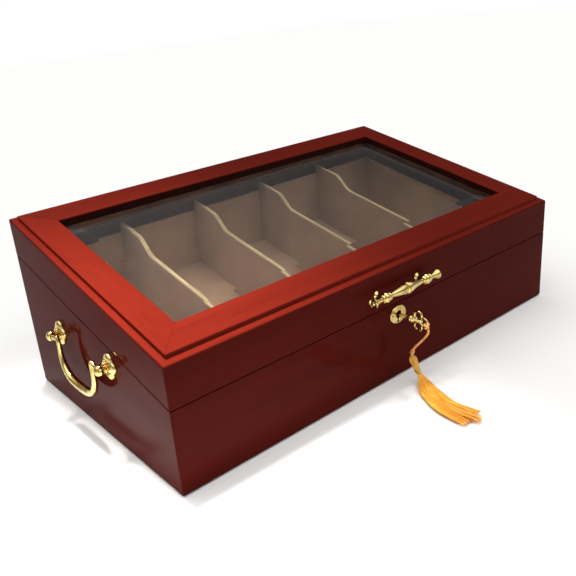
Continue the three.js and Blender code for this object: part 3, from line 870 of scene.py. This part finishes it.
strike_low, strike_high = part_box("strike_plate")
bolt_low, bolt_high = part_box("lock_bolt")
bolt_ease = 0.6 * MM
bolt_half = bolt_high.x + bolt_ease
strike_depth = 1.2 * MM
pocket_depth = 8 * MM
strike_seat = slanted_block(
    "strike_seat",
    (strike_low.x - clearance, strike_low.y - clearance, -overcut),
    (strike_high.x + clearance, strike_high.y + clearance, lid_foot + strike_depth),
)
bolt_pocket = slanted_block(
    "bolt_pocket",
    (-bolt_half, bolt_low.y - bolt_ease, -overcut),
    (bolt_half, bolt_high.y + bolt_ease, pocket_depth),
)
screw_low, screw_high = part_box("pull_screw_left")
carve(lid_boards["front"], strike_seat, bolt_pocket)
carve(lid_boards["back"], *[recess for _, level, recess in hinge_recesses if level == "upper"])
for side, plank in lid_boards.items():
    plank.data.materials.append(frame_stain_and_painted_rim_light[side])
    # Up-facing faces at the top of the rim get the frame's brighter lacquer: painted light from the lamp
    # above.
    for face in plank.data.polygons:
        height = face.center.z - seam_height(face.center.y)
        if face.normal.z > painted_light_facing and height > lid_top - painted_light_depth:
            face.material_index = 1
    flat_faces(plank)


# ---- Frame: four broad flat rails of brighter cherry, mitred, that stand a little above the rim. ----
# They hold the glass in a rebate from above, and stained beads are pinned under it. The narrow faces towards
# the glass are painted nearly black as painted shade.
rail_low, rail_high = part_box("frame_front")
glass_low, glass_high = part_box("glass")
bead_low, bead_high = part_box("glass_bead_front")
frame_outer = rail_low.y + box_half_depth
frame_inner = rail_high.y + box_half_depth
frame_top = rail_high.z - seam_height(rail_high.y)
frame_seat = lid_top + clearance
frame_foot = bead_low.z - seam_height(bead_low.y) - 0.2 * MM
glass_rest = bead_low.y + box_half_depth - 0.2 * MM
glass_top = glass_high.z - seam_height(glass_high.y) + 0.2 * MM
arris = 0.7 * MM
rail_section = eased(
    [
        (frame_outer, frame_seat),
        (wall + clearance, frame_seat),
        (wall + clearance, frame_foot),
        (glass_rest, frame_foot),
        (glass_rest, glass_top),
        (frame_inner, glass_top),
        (frame_inner, frame_top),
        (frame_outer, frame_top),
    ][::-1],
    [arris, arris, 0, 0, 0, 0, 0, 0],
    4,
)
mitre_line = 0.07 * MM
# Nearly black lacquer for the faces towards the glass: painted shade.
painted_shade_lip = lacquered_wood("painted_shade_lip_lacquer", along_x, (0.016, 0.004, 0.003), (0.03, 0.007, 0.005))


def inward_of(side, point):
    """How far a point lies in from the outer face of one side of the box."""
    if side in ("front", "back"):
        return box_half_depth - abs(point.y)
    return box_half_width - abs(point.x)


for side in SIDES:
    rail_bm = board(side, rail_section, lid_rise, joint=mitre_line)
    rail = new_piece(f"rail_{side}", rail_bm, frame_stain_and_painted_rim_light[side])
    rail.data.materials.append(painted_shade_lip)
    # Faces towards the glass, below the top arris, get the painted shade.
    for face in rail.data.polygons:
        low_enough = face.center.z - seam_height(face.center.y) < frame_top - arris
        if low_enough and inward_of(side, face.center) > frame_inner - arris / 2:
            face.material_index = 1
    flat_faces(rail)
    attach(rail, "lid")
    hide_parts(f"frame_{side}")

bead_colours = ((0.1, 0.055, 0.04), (0.15, 0.085, 0.06))
dark_bead, _ = figured("dark_bead", 60, (1, 1, 1), 5, bead_colours, (0.35, 0.65), 0.35, 0.0001, 0.3)
bead_outer = bead_low.y + box_half_depth
bead_inner = bead_high.y + box_half_depth
bead_foot = bead_low.z - seam_height(bead_low.y)
bead_top = bead_high.z - seam_height(bead_high.y)
bead_section = eased(
    [(bead_outer, bead_foot), (bead_outer, bead_top), (bead_inner, bead_top), (bead_inner, bead_foot)],
    [0, 0, 0.6 * MM, 2.4 * MM],
    5,
)
for side in SIDES:
    bead = new_piece(f"bead_{side}", board(side, bead_section, lid_rise, joint=mitre_line), dark_bead)
    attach(bead, "lid")
    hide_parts(f"glass_bead_{side}")


# ---- Glass: a clear pane, 4 mm thick, ground to a wide polished bevel all round its upper face. ----
# It lies on the beads and is held down by the frame. It has a few faint smears, and its arrises are ground.
clear_glass, glass_nodes, glass_links, glass_shader = new_material("clear_glass")
glass_shader.inputs["Base Color"].default_value = (0.97, 0.985, 0.975, 1)
glass_shader.inputs["Transmission Weight"].default_value = 1
glass_shader.inputs["IOR"].default_value = 1.32
glass_smear = speckle(glass_nodes, glass_links, 30, (1, 1, 1), 3)
smeared = number_between(glass_nodes, glass_links, glass_smear, 0.0, 0.015)
glass_links.new(smeared, glass_shader.inputs["Roughness"])
bevel_width = 18 * MM
bevel_drop = 1.8 * MM
polished_arris = 0.3 * MM
pane_thickness = 4 * MM


def bevelled_pane():
    """Rings of the pane from its lower arris up to the flat inside the bevel."""
    floor_level = glass_low.z - seam_height(glass_low.y)
    top_level = floor_level + pane_thickness
    levels = [
        (polished_arris, floor_level),
        (0, floor_level + polished_arris),
        (0, top_level - bevel_drop - polished_arris / 2),
        (polished_arris, top_level - bevel_drop + polished_arris * bevel_drop / bevel_width),
        (bevel_width - 0.25 * MM, top_level - 0.02 * MM),
        (bevel_width + 0.25 * MM, top_level),
    ]
    bm = bmesh.new()
    rings = []
    for inset, height in levels:
        x, y = glass_high.x - inset, glass_high.y - inset
        rings.append([bm.verts.new((a * x, b * y, height)) for a, b in ((-1, -1), (1, -1), (1, 1), (-1, 1))])
    skin(bm, rings)
    return on_slant(bm)


pane = new_piece("bevelled_pane", bevelled_pane(), clear_glass, 3)
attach(pane, "lid")
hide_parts("glass")


# ---- Lock: a steel case and bolt let into the front board, and a domed brass plate round the keyhole. ----
# The plate has a rolled rim and is held by two small pins.
def polished_metal(name, dark, light, low_gloss, high_gloss):
    """Polished metal, a little uneven in colour and gloss where hands have touched it."""
    material, nodes, links, shader = new_material(name)
    tarnish = speckle(nodes, links, 120, (1, 1, 1), 4)
    links.new(colour_between(nodes, links, tarnish, dark, light, 0.3, 0.6), shader.inputs["Base Color"])
    shader.inputs["Metallic"].default_value = 1
    handled = speckle(nodes, links, 260, (1, 1, 1), 3)
    links.new(number_between(nodes, links, handled, low_gloss, high_gloss), shader.inputs["Roughness"])
    relief(nodes, links, tarnish, 0.00005, shader.inputs["Normal"], 0.25)
    return material


brass = polished_metal("brass", (0.44, 0.32, 0.09), (0.74, 0.57, 0.23), 0.04, 0.12)
steel = polished_metal("lock_steel", (0.36, 0.35, 0.33), (0.56, 0.55, 0.52), 0.3, 0.45)
for node, finish in (("lock_case", steel), ("lock_bolt", steel), ("strike_plate", brass)):
    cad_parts[node].data.materials.clear()
    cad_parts[node].data.materials.append(finish)


def turned(bm, profile, foot, way, sides=32):
    """A turned solid. Profile is (radius, distance) pairs along way, from the foot. One that starts or ends
    off the axis is closed with a flat face, and one that starts and ends at the same point is a ring."""
    along = way.normalized()
    across = along.cross(Vector((0, 0, 1)) if abs(along.z) < 0.9 else Vector((1, 0, 0))).normalized()
    up = along.cross(across)
    closed = profile[0] == profile[-1]
    turns = [2 * math.pi * k / sides for k in range(sides)]
    rings = []
    for radius, distance in profile[:-1] if closed else profile:
        centre = foot + along * distance
        if radius < 1e-9:
            rings.append([bm.verts.new(centre)])
            continue
        spokes = [across * math.cos(turn) + up * math.sin(turn) for turn in turns]
        rings.append([bm.verts.new(centre + spoke * radius) for spoke in spokes])
    pairs = list(zip(rings, rings[1:]))
    if closed:
        pairs.append((rings[-1], rings[0]))
    for low, high in pairs:
        for k in range(sides):
            after = (k + 1) % sides
            if len(low) == 1:
                bm.faces.new((low[0], high[k], high[after]))
            elif len(high) == 1:
                bm.faces.new((low[k], low[after], high[0]))
            else:
                bm.faces.new((low[k], low[after], high[after], high[k]))
    for ring, flat in ((rings[0], not closed), (rings[-1], not closed)):
        if flat and len(ring) > 1:
            bm.faces.new(ring)


def in_mm(profile):
    return [(radius * MM, distance * MM) for radius, distance in profile]


OUT_FRONT = Vector((0, -1, 0))
plate_radius = (plate_high.z - plate_low.z) / 2
plate_stretch = plate_high.x / plate_radius  # the plate is a little wider than high
plate_back = plate_high.y
pin_offset = 5.7 * MM
plate_bm = bmesh.new()
plate_profile = [
    (plate_radius, 0),
    (plate_radius, 0.8 * MM),
    (plate_radius - 0.3 * MM, 1.15 * MM),
    (plate_radius - 0.8 * MM, 1.15 * MM),
    (plate_radius - 1.2 * MM, 0.85 * MM),
    (plate_radius - 1.9 * MM, 0.9 * MM),
    (plate_radius - 2.9 * MM, 1.2 * MM),
    (plate_radius - 4 * MM, 1.5 * MM),
    (2 * MM, 1.6 * MM),
    (0, 1.6 * MM),
]
turned(plate_bm, [(0, 0), *plate_profile], Vector((0, plate_back, lock_middle)), OUT_FRONT, 48)
for vert in plate_bm.verts:
    vert.co.x *= plate_stretch
lock_plate = new_piece("keyhole_plate", plate_bm, brass)
plate_hole = keyhole_cutter(
    "plate_keyhole",
    plate_low.y - overcut,
    plate_back + overcut,
    keyhole_radius - 0.3 * MM,
    key_slot_half,
    key_slot_drop,
)
carve(lock_plate, plate_hole)
pins_bm = bmesh.new()
for way in (-1, 1):
    pin_foot = Vector((way * pin_offset, plate_back - 0.9 * MM, lock_middle))
    turned(pins_bm, in_mm([(0.85, 0), (0.8, 0.35), (0.5, 0.6), (0, 0.7)]), pin_foot, OUT_FRONT, 14)
plate_pins = new_piece("plate_pins", pins_bm, brass)
for piece in (lock_plate, plate_pins):
    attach(piece, "case")
    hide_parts("lock_plate")


# ---- Key: a turned brass shaft with a bit at one end and a bow of three rings at the other. ----
# The bow's rings lie in one upright plane, two at its sides and one at its end, which holds the cord.
ring_radius = 3.2 * MM
ring_wire = 0.9 * MM
ring_steps = 40
outer_ring_y = key_low.y + ring_radius + ring_wire
side_ring_y = outer_ring_y + ring_radius + 2 * ring_wire
bow_y = side_ring_y + ring_radius + 2 * ring_wire
ring_spread = ring_radius + ring_wire

key_bm = bmesh.new()
for ring_y, ring_z in (
    (side_ring_y, lock_middle + ring_spread),
    (side_ring_y, lock_middle - ring_spread),
    (outer_ring_y, lock_middle),
):
    loop = []
    for k in range(ring_steps):
        turn = 2 * math.pi * k / ring_steps
        loop.append(Vector((0, ring_y + ring_radius * math.cos(turn), ring_z + ring_radius * math.sin(turn))))
    sweep(key_bm, loop, [(0.95 * ring_wire, 0.85 * ring_wire)] * ring_steps, 12, closed=True)
shaft_profile = [
    (0, -8.6),
    (0.9, -8.4),
    (1.3, -7.8),
    (1.3, -2.2),
    (1.7, -1.6),
    (2.6, -0.9),
    (2.8, -0.2),
    (2.3, 0.5),
    (1.6, 0.9),
    (2.1, 1.5),
    (2.1, 2.1),
    (1.6, 2.7),
    (1.6, 5),
    (1.75, 5.4),
    (1.6, 5.8),
]
shaft_length = key_high.y - bow_y
turned(
    key_bm,
    [*in_mm(shaft_profile), (1.6 * MM, shaft_length - 0.4 * MM), (1.2 * MM, shaft_length), (0, shaft_length)],
    Vector((0, bow_y, lock_middle)),
    Vector((0, 1, 0)),
    24,
)
bit_bm = bmesh.new()
bmesh.ops.create_cube(bit_bm, size=1)
bit_thick, bit_deep, bit_high = 1.4 * MM, 1.25 * MM, 6 * MM
for vert in bit_bm.verts:
    x, y, z = vert.co
    vert.co = (x * bit_thick, key_high.y + (y - 0.5) * bit_deep, lock_middle + (z - 0.5) * bit_high)
key_shaft = new_piece("key_brass", key_bm, brass)
key_bit = new_piece("key_bit", bit_bm, brass)
for piece in (key_shaft, key_bit):
    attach(piece, "key")
    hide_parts("key")


# ---- Pull: one turned brass bar on two short legs, screwed from inside the lid. ----
# From the middle outwards it has a collared bulb, a long taper, three beads over each leg and a cup end.
pull_low, pull_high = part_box("pull")
pull_z = (pull_low.z + pull_high.z) / 2
pull_half = pull_high.x / MM
pull_leg = (screw_low.x + screw_high.x) / -2 / MM
pull_girth = (pull_high.z - pull_low.z) / 2
pull_y = pull_low.y + pull_girth
half_bar = [
    (4, 0),
    (pull_girth / MM, 0.5),
    (pull_girth / MM, 0.9),
    (3.9, 1.3),
    (3.2, 1.6),
    (3.2, 1.9),
    (3.75, 2.4),
    (3.9, 3.4),
    (3.7, 5),
    (3.2, 7),
    (2.6, pull_leg - 11),
    (2, pull_leg - 7.5),
    (1.75, pull_leg - 5),
    (1.8, pull_leg - 4.4),
    (2.7, pull_leg - 4.1),
    (3.1, pull_leg - 3.4),
    (2.8, pull_leg - 2.6),
    (2.2, pull_leg - 2.2),
    (3.1, pull_leg - 1.8),
    (3.8, pull_leg - 0.9),
    (3.95, pull_leg),
    (3.8, pull_leg + 0.9),
    (3.1, pull_leg + 1.8),
    (2.2, pull_leg + 2.2),
    (2.8, pull_leg + 2.6),
    (3.1, pull_leg + 3.4),
    (2.7, pull_leg + 4.1),
    (1.8, pull_leg + 4.4),
    (1.75, pull_leg + 5.2),
    (2.1, pull_half - 6),
    (2.9, pull_half - 4),
    (3.6, pull_half - 2.6),
    (3.9, pull_half - 1.7),
    (3.8, pull_half - 1.1),
    (3.3, pull_half - 0.9),
    (2.5, pull_half - 1.5),
    (1.8, pull_half - 1.3),
    (1.7, pull_half - 0.7),
    (1.1, pull_half - 0.15),
    (0, pull_half),
]
bar_profile = [(radius, -distance) for radius, distance in half_bar[:0:-1]] + half_bar
ACROSS = Vector((1, 0, 0))
pull_bm = bmesh.new()
turned(pull_bm, in_mm(bar_profile), Vector((0, pull_y, pull_z)), ACROSS, 36)
leg_length = (pull_high.y - pull_y) / MM
leg_profile = in_mm(
    [(2.9, 0), (2.9, 0.5), (2.6, 0.9), (2.1, 1.5), (1.8, 3.4), (2.1, leg_length - 1), (0, leg_length)]
)
for way in (-1, 1):
    leg_foot = Vector((way * pull_leg * MM, pull_high.y, pull_z))
    turned(pull_bm, [(0, 0), *leg_profile], leg_foot, OUT_FRONT, 28)
pull = new_piece("turned_pull", pull_bm, brass)
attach(pull, "lid")
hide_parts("pull")


def screw_head(bm, foot, way, radius, rise, lean=0.6):
    """A round screw head with a slot cut across it. Bed is the floor of the slot."""
    along = way.normalized()
    across = along.cross(Vector((0.3, 0.2, 1))).normalized()
    across.rotate(Matrix.Rotation(lean, 3, along))
    up = along.cross(across)
    slot = radius * 0.16
    bed = rise * 0.35
    rings = 5
    count = 24
    for half in (-1, 1):
        grid = []
        for i in range(rings + 1):
            reach = radius * math.sin(math.pi / 2 * i / rings)
            height = rise * math.cos(math.pi / 2 * i / rings) ** 0.7 if i < rings else 0
            row = []
            for k in range(count // 2 + 1):
                turn = math.pi * k / (count // 2)
                side = max(reach * math.sin(turn), slot) * half
                row.append(bm.verts.new(foot + across * reach * math.cos(turn) + up * side + along * height))
            grid.append(row)
        for low, high in zip(grid, grid[1:]):
            for k in range(count // 2):
                bm.faces.new((low[k], low[k + 1], high[k + 1], high[k]))
    turned(bm, [(radius * 0.9, 0), (radius * 0.9, bed), (0, bed)], foot, way, count)


def slotted_screws(name, spread, y, height, way, radius, rise, finish):
    """A pair of screws, spread to each side of the middle. Height is measured from the seam."""
    bm = bmesh.new()
    for end in (-1, 1):
        foot = Vector((end * spread, y, seam_height(y) + height))
        screw_head(bm, foot, way, radius, rise, end)
    return new_piece(name, bm, finish)


INWARD = Vector((0, 1, 0))
screw_rise = 1.8 * MM
shank_radius = 1.5 * MM
for side in ("left", "right"):
    low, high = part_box(f"pull_screw_{side}")
    middle = (low + high) / 2
    screw_radius = (high.z - low.z) / 2
    head_foot = Vector((middle.x, high.y - screw_rise, middle.z))
    shank_end = low.y - head_foot.y
    shank = [(0, shank_end), (1.2 * MM, shank_end + 0.4 * MM), (shank_radius, shank_end + 1 * MM)]
    screw_bm = bmesh.new()
    turned(screw_bm, [*shank, (shank_radius, 0), (screw_radius, 0), (0, 0)], head_foot, INWARD, 20)
    screw_head(screw_bm, head_foot, INWARD, screw_radius, screw_rise)
    screw = new_piece(f"{side}_pull_screw", screw_bm, brass)
    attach(screw, "lid")
    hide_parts(f"pull_screw_{side}")


# ---- Hinges: two brass butts let into the back boards, each with three knuckles on a pin. ----
# Each leaf lies in its recess on two screws.
leaf_thick = 1.2 * MM
leaf_screw_spread = 12 * MM
pin_bore = 1.35 * MM
knuckle_ease = 0.25 * MM
knuckle_gap = 0.3 * MM


def hinge_leaf(side, level, body):
    node = f"{side}_hinge_{level}"
    low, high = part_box(node)
    pin_low, pin_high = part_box(f"{side}_hinge_pin")
    axis = (pin_low + pin_high) / 2
    girth = high.y - axis.y
    if level == "lower":
        plate_bottom = -leaf_thick - clearance
        middle_gap = (high.x - low.x) / 6
        spans = [(low.x, axis.x - middle_gap), (axis.x + middle_gap, high.x)]
    else:
        plate_bottom = lid_foot + clearance
        middle_gap = (high.x - low.x) / 6 - knuckle_gap
        spans = [(axis.x - middle_gap, axis.x + middle_gap)]
    bm = bmesh.new()
    plate_end = box_half_depth + clearance
    leaf = [(low.x, low.y, high.x, plate_end)] + [(a, box_half_depth, b, axis.y) for a, b in spans]
    for x0, y0, x1, y1 in leaf:
        made = bmesh.ops.create_cube(bm, size=1)["verts"]
        for vert in made:
            share = vert.co + Vector((0.5, 0.5, 0.5))
            y = y0 + (y1 - y0) * share.y
            z = plate_bottom + leaf_thick * share.z + seam_height(y)
            vert.co = Vector((x0 + (x1 - x0) * share.x, y, z))
    for a, b in spans:
        knuckle = [
            (pin_bore, 0),
            (girth - knuckle_ease, 0),
            (girth, knuckle_ease),
            (girth, b - a - knuckle_ease),
            (girth - knuckle_ease, b - a),
            (pin_bore, b - a),
            (pin_bore, 0),
        ]
        turned(bm, knuckle, Vector((a, axis.y, axis.z)), ACROSS, 32)
    piece = new_piece(f"{side}_leaf_{level}", bm, brass)
    screws_bm = bmesh.new()
    face = plate_bottom + leaf_thick if level == "lower" else plate_bottom
    away = Vector((0, -slant, 1)) if level == "lower" else Vector((0, slant, -1))
    for way in (-1, 1):
        y = (low.y + box_half_depth) / 2
        head_at = Vector((axis.x + way * leaf_screw_spread, y, seam_height(y) + face))
        screw_head(screws_bm, head_at, away, 1.9 * MM, 0.25 * MM, 0.5 + way)
    screws = new_piece(f"{side}_leaf_{level}_screws", screws_bm, brass)
    for made in (piece, screws):
        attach(made, body)
        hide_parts(node)


for side in ("left", "right"):
    hinge_leaf(side, "lower", "case")
    hinge_leaf(side, "upper", "lid")
    pin_low, pin_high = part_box(f"{side}_hinge_pin")
    axis = (pin_low + pin_high) / 2
    pin_radius = (pin_high.z - pin_low.z) / 2
    length = pin_high.x - pin_low.x
    tip = in_mm([(0, -0.9), (0.9, -0.7), (1.5, -0.3), (1.7, 0)])
    far_tip = [(radius, length - distance) for radius, distance in tip[::-1]]
    pin_bm = bmesh.new()
    pin_profile = [*tip, (pin_radius, 0), (pin_radius, length), *far_tip]
    turned(pin_bm, pin_profile, Vector((pin_low.x, axis.y, axis.z)), ACROSS, 20)
    pin = new_piece(f"{side}_pin", pin_bm, brass)
    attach(pin, "case")
    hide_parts(f"{side}_hinge_pin")

strike_middle = (strike_low.y + strike_high.y) / 2
screw_radius = 1.7 * MM
down = Vector((0, slant, -1))
strike_screws = slotted_screws(
    "strike_screws", 10 * MM, strike_middle, lid_foot + clearance, down, screw_radius, 0.25 * MM, brass
)
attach(strike_screws, "lid")

case_middle = (case_low.y + case_high.y) / 2
case_screws = slotted_screws(
    "lock_case_screws", 11.5 * MM, case_middle, -clearance, -down, screw_radius, 0.2 * MM, steel
)
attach(case_screws, "case")


# ---- Handles: on each side a swan-neck brass bail between two posts, each on a lobed rosette. ----
# The rosettes are cast with domed lobes; the bail's ends run through eyes in the posts and are riveted over.
rosette_lobes = [(4.9, 0, 4.7), (4.9, 0, -4.7), (4.6, 3.6, 0), (4.6, -3.6, 0)]  # radius, along, up
rosette_edge = 0.8
dome_height = 2.7
ring_relief = 0.3
ring_wave = 13
post_seat = 4.6  # radius of the level middle that the post stands on
post_seat_height = 1.15


def rosette_reach(turn):
    """Distance from the middle of a rosette to its outline."""
    reach = 0
    for radius, along, up in rosette_lobes:
        ahead = along * math.cos(turn) + up * math.sin(turn)
        inside = radius**2 - along**2 - up**2 + ahead**2
        if inside >= 0:
            reach = max(reach, ahead + math.sqrt(inside))
    return reach


def rosette_height(along, up):
    """Each lobe is a dome with a ring round a small boss."""
    height = 0
    for radius, lobe_along, lobe_up in rosette_lobes:
        share = math.hypot(along - lobe_along, up - lobe_up) / radius
        if share < 1:
            ridge = ring_relief * math.cos(share * ring_wave) * (1 - share)
            height = max(height, dome_height * math.sqrt(1 - share**2) + ridge)
    if math.hypot(along, up) < post_seat:
        height = min(height, post_seat_height)
    return rosette_edge + height


def rosette(side_x, out, y, z):
    bm = bmesh.new()
    sides = 72
    rings = []
    for share in (0.06, 0.16, 0.26, 0.36, 0.46, 0.55, 0.64, 0.72, 0.8, 0.87, 0.93, 0.97, 1):
        ring = []
        for k in range(sides):
            turn = 2 * math.pi * k / sides
            reach = rosette_reach(turn) * share
            along, up = reach * math.cos(turn), reach * math.sin(turn)
            stand = rosette_height(along, up) if share < 1 else rosette_edge
            ring.append(bm.verts.new((side_x + out * stand * MM, y + along * MM, z + up * MM)))
        rings.append(ring)
    back = [bm.verts.new((side_x, vert.co.y, vert.co.z)) for vert in rings[-1]]
    rings.append(back)
    centre = bm.verts.new((side_x + out * rosette_height(0, 0) * MM, y, z))
    for k in range(sides):
        after = (k + 1) % sides
        bm.faces.new((centre, rings[0][k], rings[0][after]))
    for low, high in zip(rings, rings[1:]):
        for k in range(sides):
            after = (k + 1) % sides
            bm.faces.new((low[k], high[k], high[after], low[after]))
    bm.faces.new(back)
    return bm


post_stem = [
    (0, 1.6),
    (3.9, 1.6),
    (4.1, 2.1),
    (3.9, 2.7),
    (3.1, 3),
    (2.3, 3.3),
    (2.4, 3.6),
    (3.1, 4),
    (3.2, 4.5),
    (2.7, 4.8),
    (2.1, 5),
    (2, 5.3),
    (2.3, 5.7),
    (2.4, 6),
    (0, 6.1),
]
eye_ring = [
    (2, -2.4),
    (2.7, -2.4),
    (3.3, -2),
    (3.7, -1.2),
    (3.9, -0.4),
    (3.9, 0.4),
    (3.7, 1.2),
    (3.3, 2),
    (2.7, 2.4),
    (2, 2.4),
    (2, -2.4),
]
# One half of the bail, from its pivot to the bottom: along and up from the middle between the posts, in mm.
bail_half = [
    (34.6, 0),
    (30.8, 0.6),
    (28, 1.6),
    (26.2, -0.8),
    (26.4, -6),
    (26.3, -13),
    (23.2, -20),
    (16.4, -25.5),
    (8, -27.2),
]
bail_lowest = 27.5
bail_end = [
    (0, -0.6),
    (1.5, -0.4),
    (1.7, 0.6),
    (1.7, 6.6),
    (2.3, 6.7),
    (2.4, 7.1),
    (2, 7.8),
    (1.2, 8.3),
    (0, 8.5),
]
eye_radius = 3.9 * MM
eye_reach = 4 * MM  # how far in from the pivot a bail's end starts


neck_girth = 1.65
end_swell, end_share = 0.35, 0.05  # a swelling at each end, and how much of the length it takes
collar_rise, collar_share, collar_reach = 0.55, 0.115, 0.012
grip_start, grip_swell = 0.2, 0.24
grip_wide, grip_high = 1.5, 0.95  # what the grip has over the neck


def bail_girth(share):
    """Slim necks, a small collar where each leg starts, and a full flattened grip."""
    edge = min(share, 1 - share)
    grip = max(0, min(1, (edge - grip_start) / grip_swell))
    grip = grip * grip * (3 - 2 * grip)
    collar = collar_rise * math.exp(-(((edge - collar_share) / collar_reach) ** 2))
    neck = neck_girth + end_swell * max(0, 1 - edge / end_share) + collar
    return (neck + grip_wide * grip) * MM, (neck + grip_high * grip) * MM


for side, out in (("left", -1), ("right", 1)):
    pivots = []
    for place in ("front", "back"):
        post_low, post_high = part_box(f"{side}_post_{place}")
        side_x = post_high.x if out < 0 else post_low.x
        eye_x = post_low.x + eye_radius if out < 0 else post_high.x - eye_radius
        pivot = Vector((eye_x, (post_low.y + post_high.y) / 2, (post_low.z + post_high.z) / 2))
        pivots.append(pivot)
        rose_bm = rosette(side_x, out, pivot.y, pivot.z)
        rose = new_piece(f"{side}_rosette_{place}_cast", rose_bm, brass, 50)
        post_bm = bmesh.new()
        turned(post_bm, in_mm(post_stem), Vector((side_x, pivot.y, pivot.z)), ACROSS * out, 28)
        turned(post_bm, in_mm(eye_ring), pivot, INWARD, 32)
        post = new_piece(f"{side}_post_{place}_turned", post_bm, brass)
        for piece, node in ((rose, f"{side}_rosette_{place}"), (post, f"{side}_post_{place}")):
            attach(piece, "case")
            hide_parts(node)
    centre = (pivots[0] + pivots[1]) / 2
    half_span = abs(pivots[1].y - pivots[0].y) / 2
    shape = [*bail_half, (0, -bail_lowest), *[(-y, z) for y, z in bail_half[::-1]]]
    line = smooth_line([centre + Vector((0, y, z)) * MM for y, z in shape], 6)
    bail_bm = bmesh.new()
    sweep(bail_bm, line, [bail_girth(i / (len(line) - 1)) for i in range(len(line))], 18)
    for way in (-1, 1):
        end_foot = centre + INWARD * way * (half_span - eye_reach)
        turned(bail_bm, in_mm(bail_end), end_foot, INWARD * way, 24)
    bail = new_piece(f"{side}_bail_bar", bail_bm, brass)
    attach(bail, f"{side}_bail")
    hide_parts(f"{side}_bail")


# ---- Studio: a pale floor, light from all round and one soft lamp above. ----
# The light is even low down, weak above that and strong overhead, so the brass has darks to reflect.
floor_half = 6
floor_bm = bmesh.new()
bmesh.ops.create_grid(floor_bm, x_segments=1, y_segments=1, size=floor_half)
floor_material, _, _, floor_shader = new_material("floor_card")
floor_shader.inputs["Base Color"].default_value = (0.93, 0.93, 0.93, 1)
floor_shader.inputs["Roughness"].default_value = 0.9
floor_shader.inputs["Specular IOR Level"].default_value = 0.1
floor = new_piece("floor", floor_bm, floor_material)
floor.location.z = -0.2 * MM

world = bpy.data.worlds.new("studio")
world.use_nodes = True
world_nodes, world_links = world.node_tree.nodes, world.node_tree.links
dark_wall = Vector((0.55, 0.5, 0.67))  # the side of the studio that is left dim
outlook = world_nodes.new("ShaderNodeTexCoord").outputs["Generated"]
facing = world_nodes.new("ShaderNodeVectorMath")
facing.operation = "DOT_PRODUCT"
facing.inputs[1].default_value = dark_wall
world_links.new(outlook, facing.inputs[0])
dimming = world_nodes.new("ShaderNodeMapRange")
dimming.inputs["From Min"].default_value = 0.78
dimming.inputs["From Max"].default_value = 0.97
dimming.inputs["To Min"].default_value = 2
dimming.inputs["To Max"].default_value = 0.7
world_links.new(facing.outputs["Value"], dimming.inputs["Value"])
upward = world_nodes.new("ShaderNodeSeparateXYZ")
world_links.new(outlook, upward.inputs[0])
sky = world_nodes.new("ShaderNodeValToRGB")
world_links.new(upward.outputs["Z"], sky.inputs["Fac"])
sky_bands = [(0, 0.52), (0.06, 0.52), (0.15, 0.16), (0.5, 0.16), (0.78, 0.92)]  # height, half brightness
for _ in sky_bands[2:]:
    sky.color_ramp.elements.new(0.5)
for band, (height, half_bright) in zip(sky.color_ramp.elements, sky_bands):
    band.position = height
    band.color = (half_bright, half_bright, half_bright, 1)
brightness = world_nodes.new("ShaderNodeMath")
brightness.operation = "MULTIPLY"
world_links.new(sky.outputs["Color"], brightness.inputs[0])
world_links.new(dimming.outputs["Result"], brightness.inputs[1])
background = world_nodes["Background"]
background.inputs["Color"].default_value = (1, 0.995, 0.985, 1)
world_links.new(brightness.outputs["Value"], background.inputs["Strength"])
bpy.context.scene.world = world

spot = bpy.data.lights.new("window_light", "SPOT")
spot.energy = 165
spot.color = (1, 0.93, 0.86)
spot.spot_size = math.radians(21)
spot.spot_blend = 1
spot.shadow_soft_size = 0.12
spot_holder = bpy.data.objects.new("window_light", spot)
spot_holder.location = (-0.1, 0.12, 0.95)
spot_target = Vector((-0.18, -0.06, 0.1))
spot_holder.rotation_euler = (spot_target - spot_holder.location).to_track_quat("-Z", "Y").to_euler()
bpy.context.collection.objects.link(spot_holder)
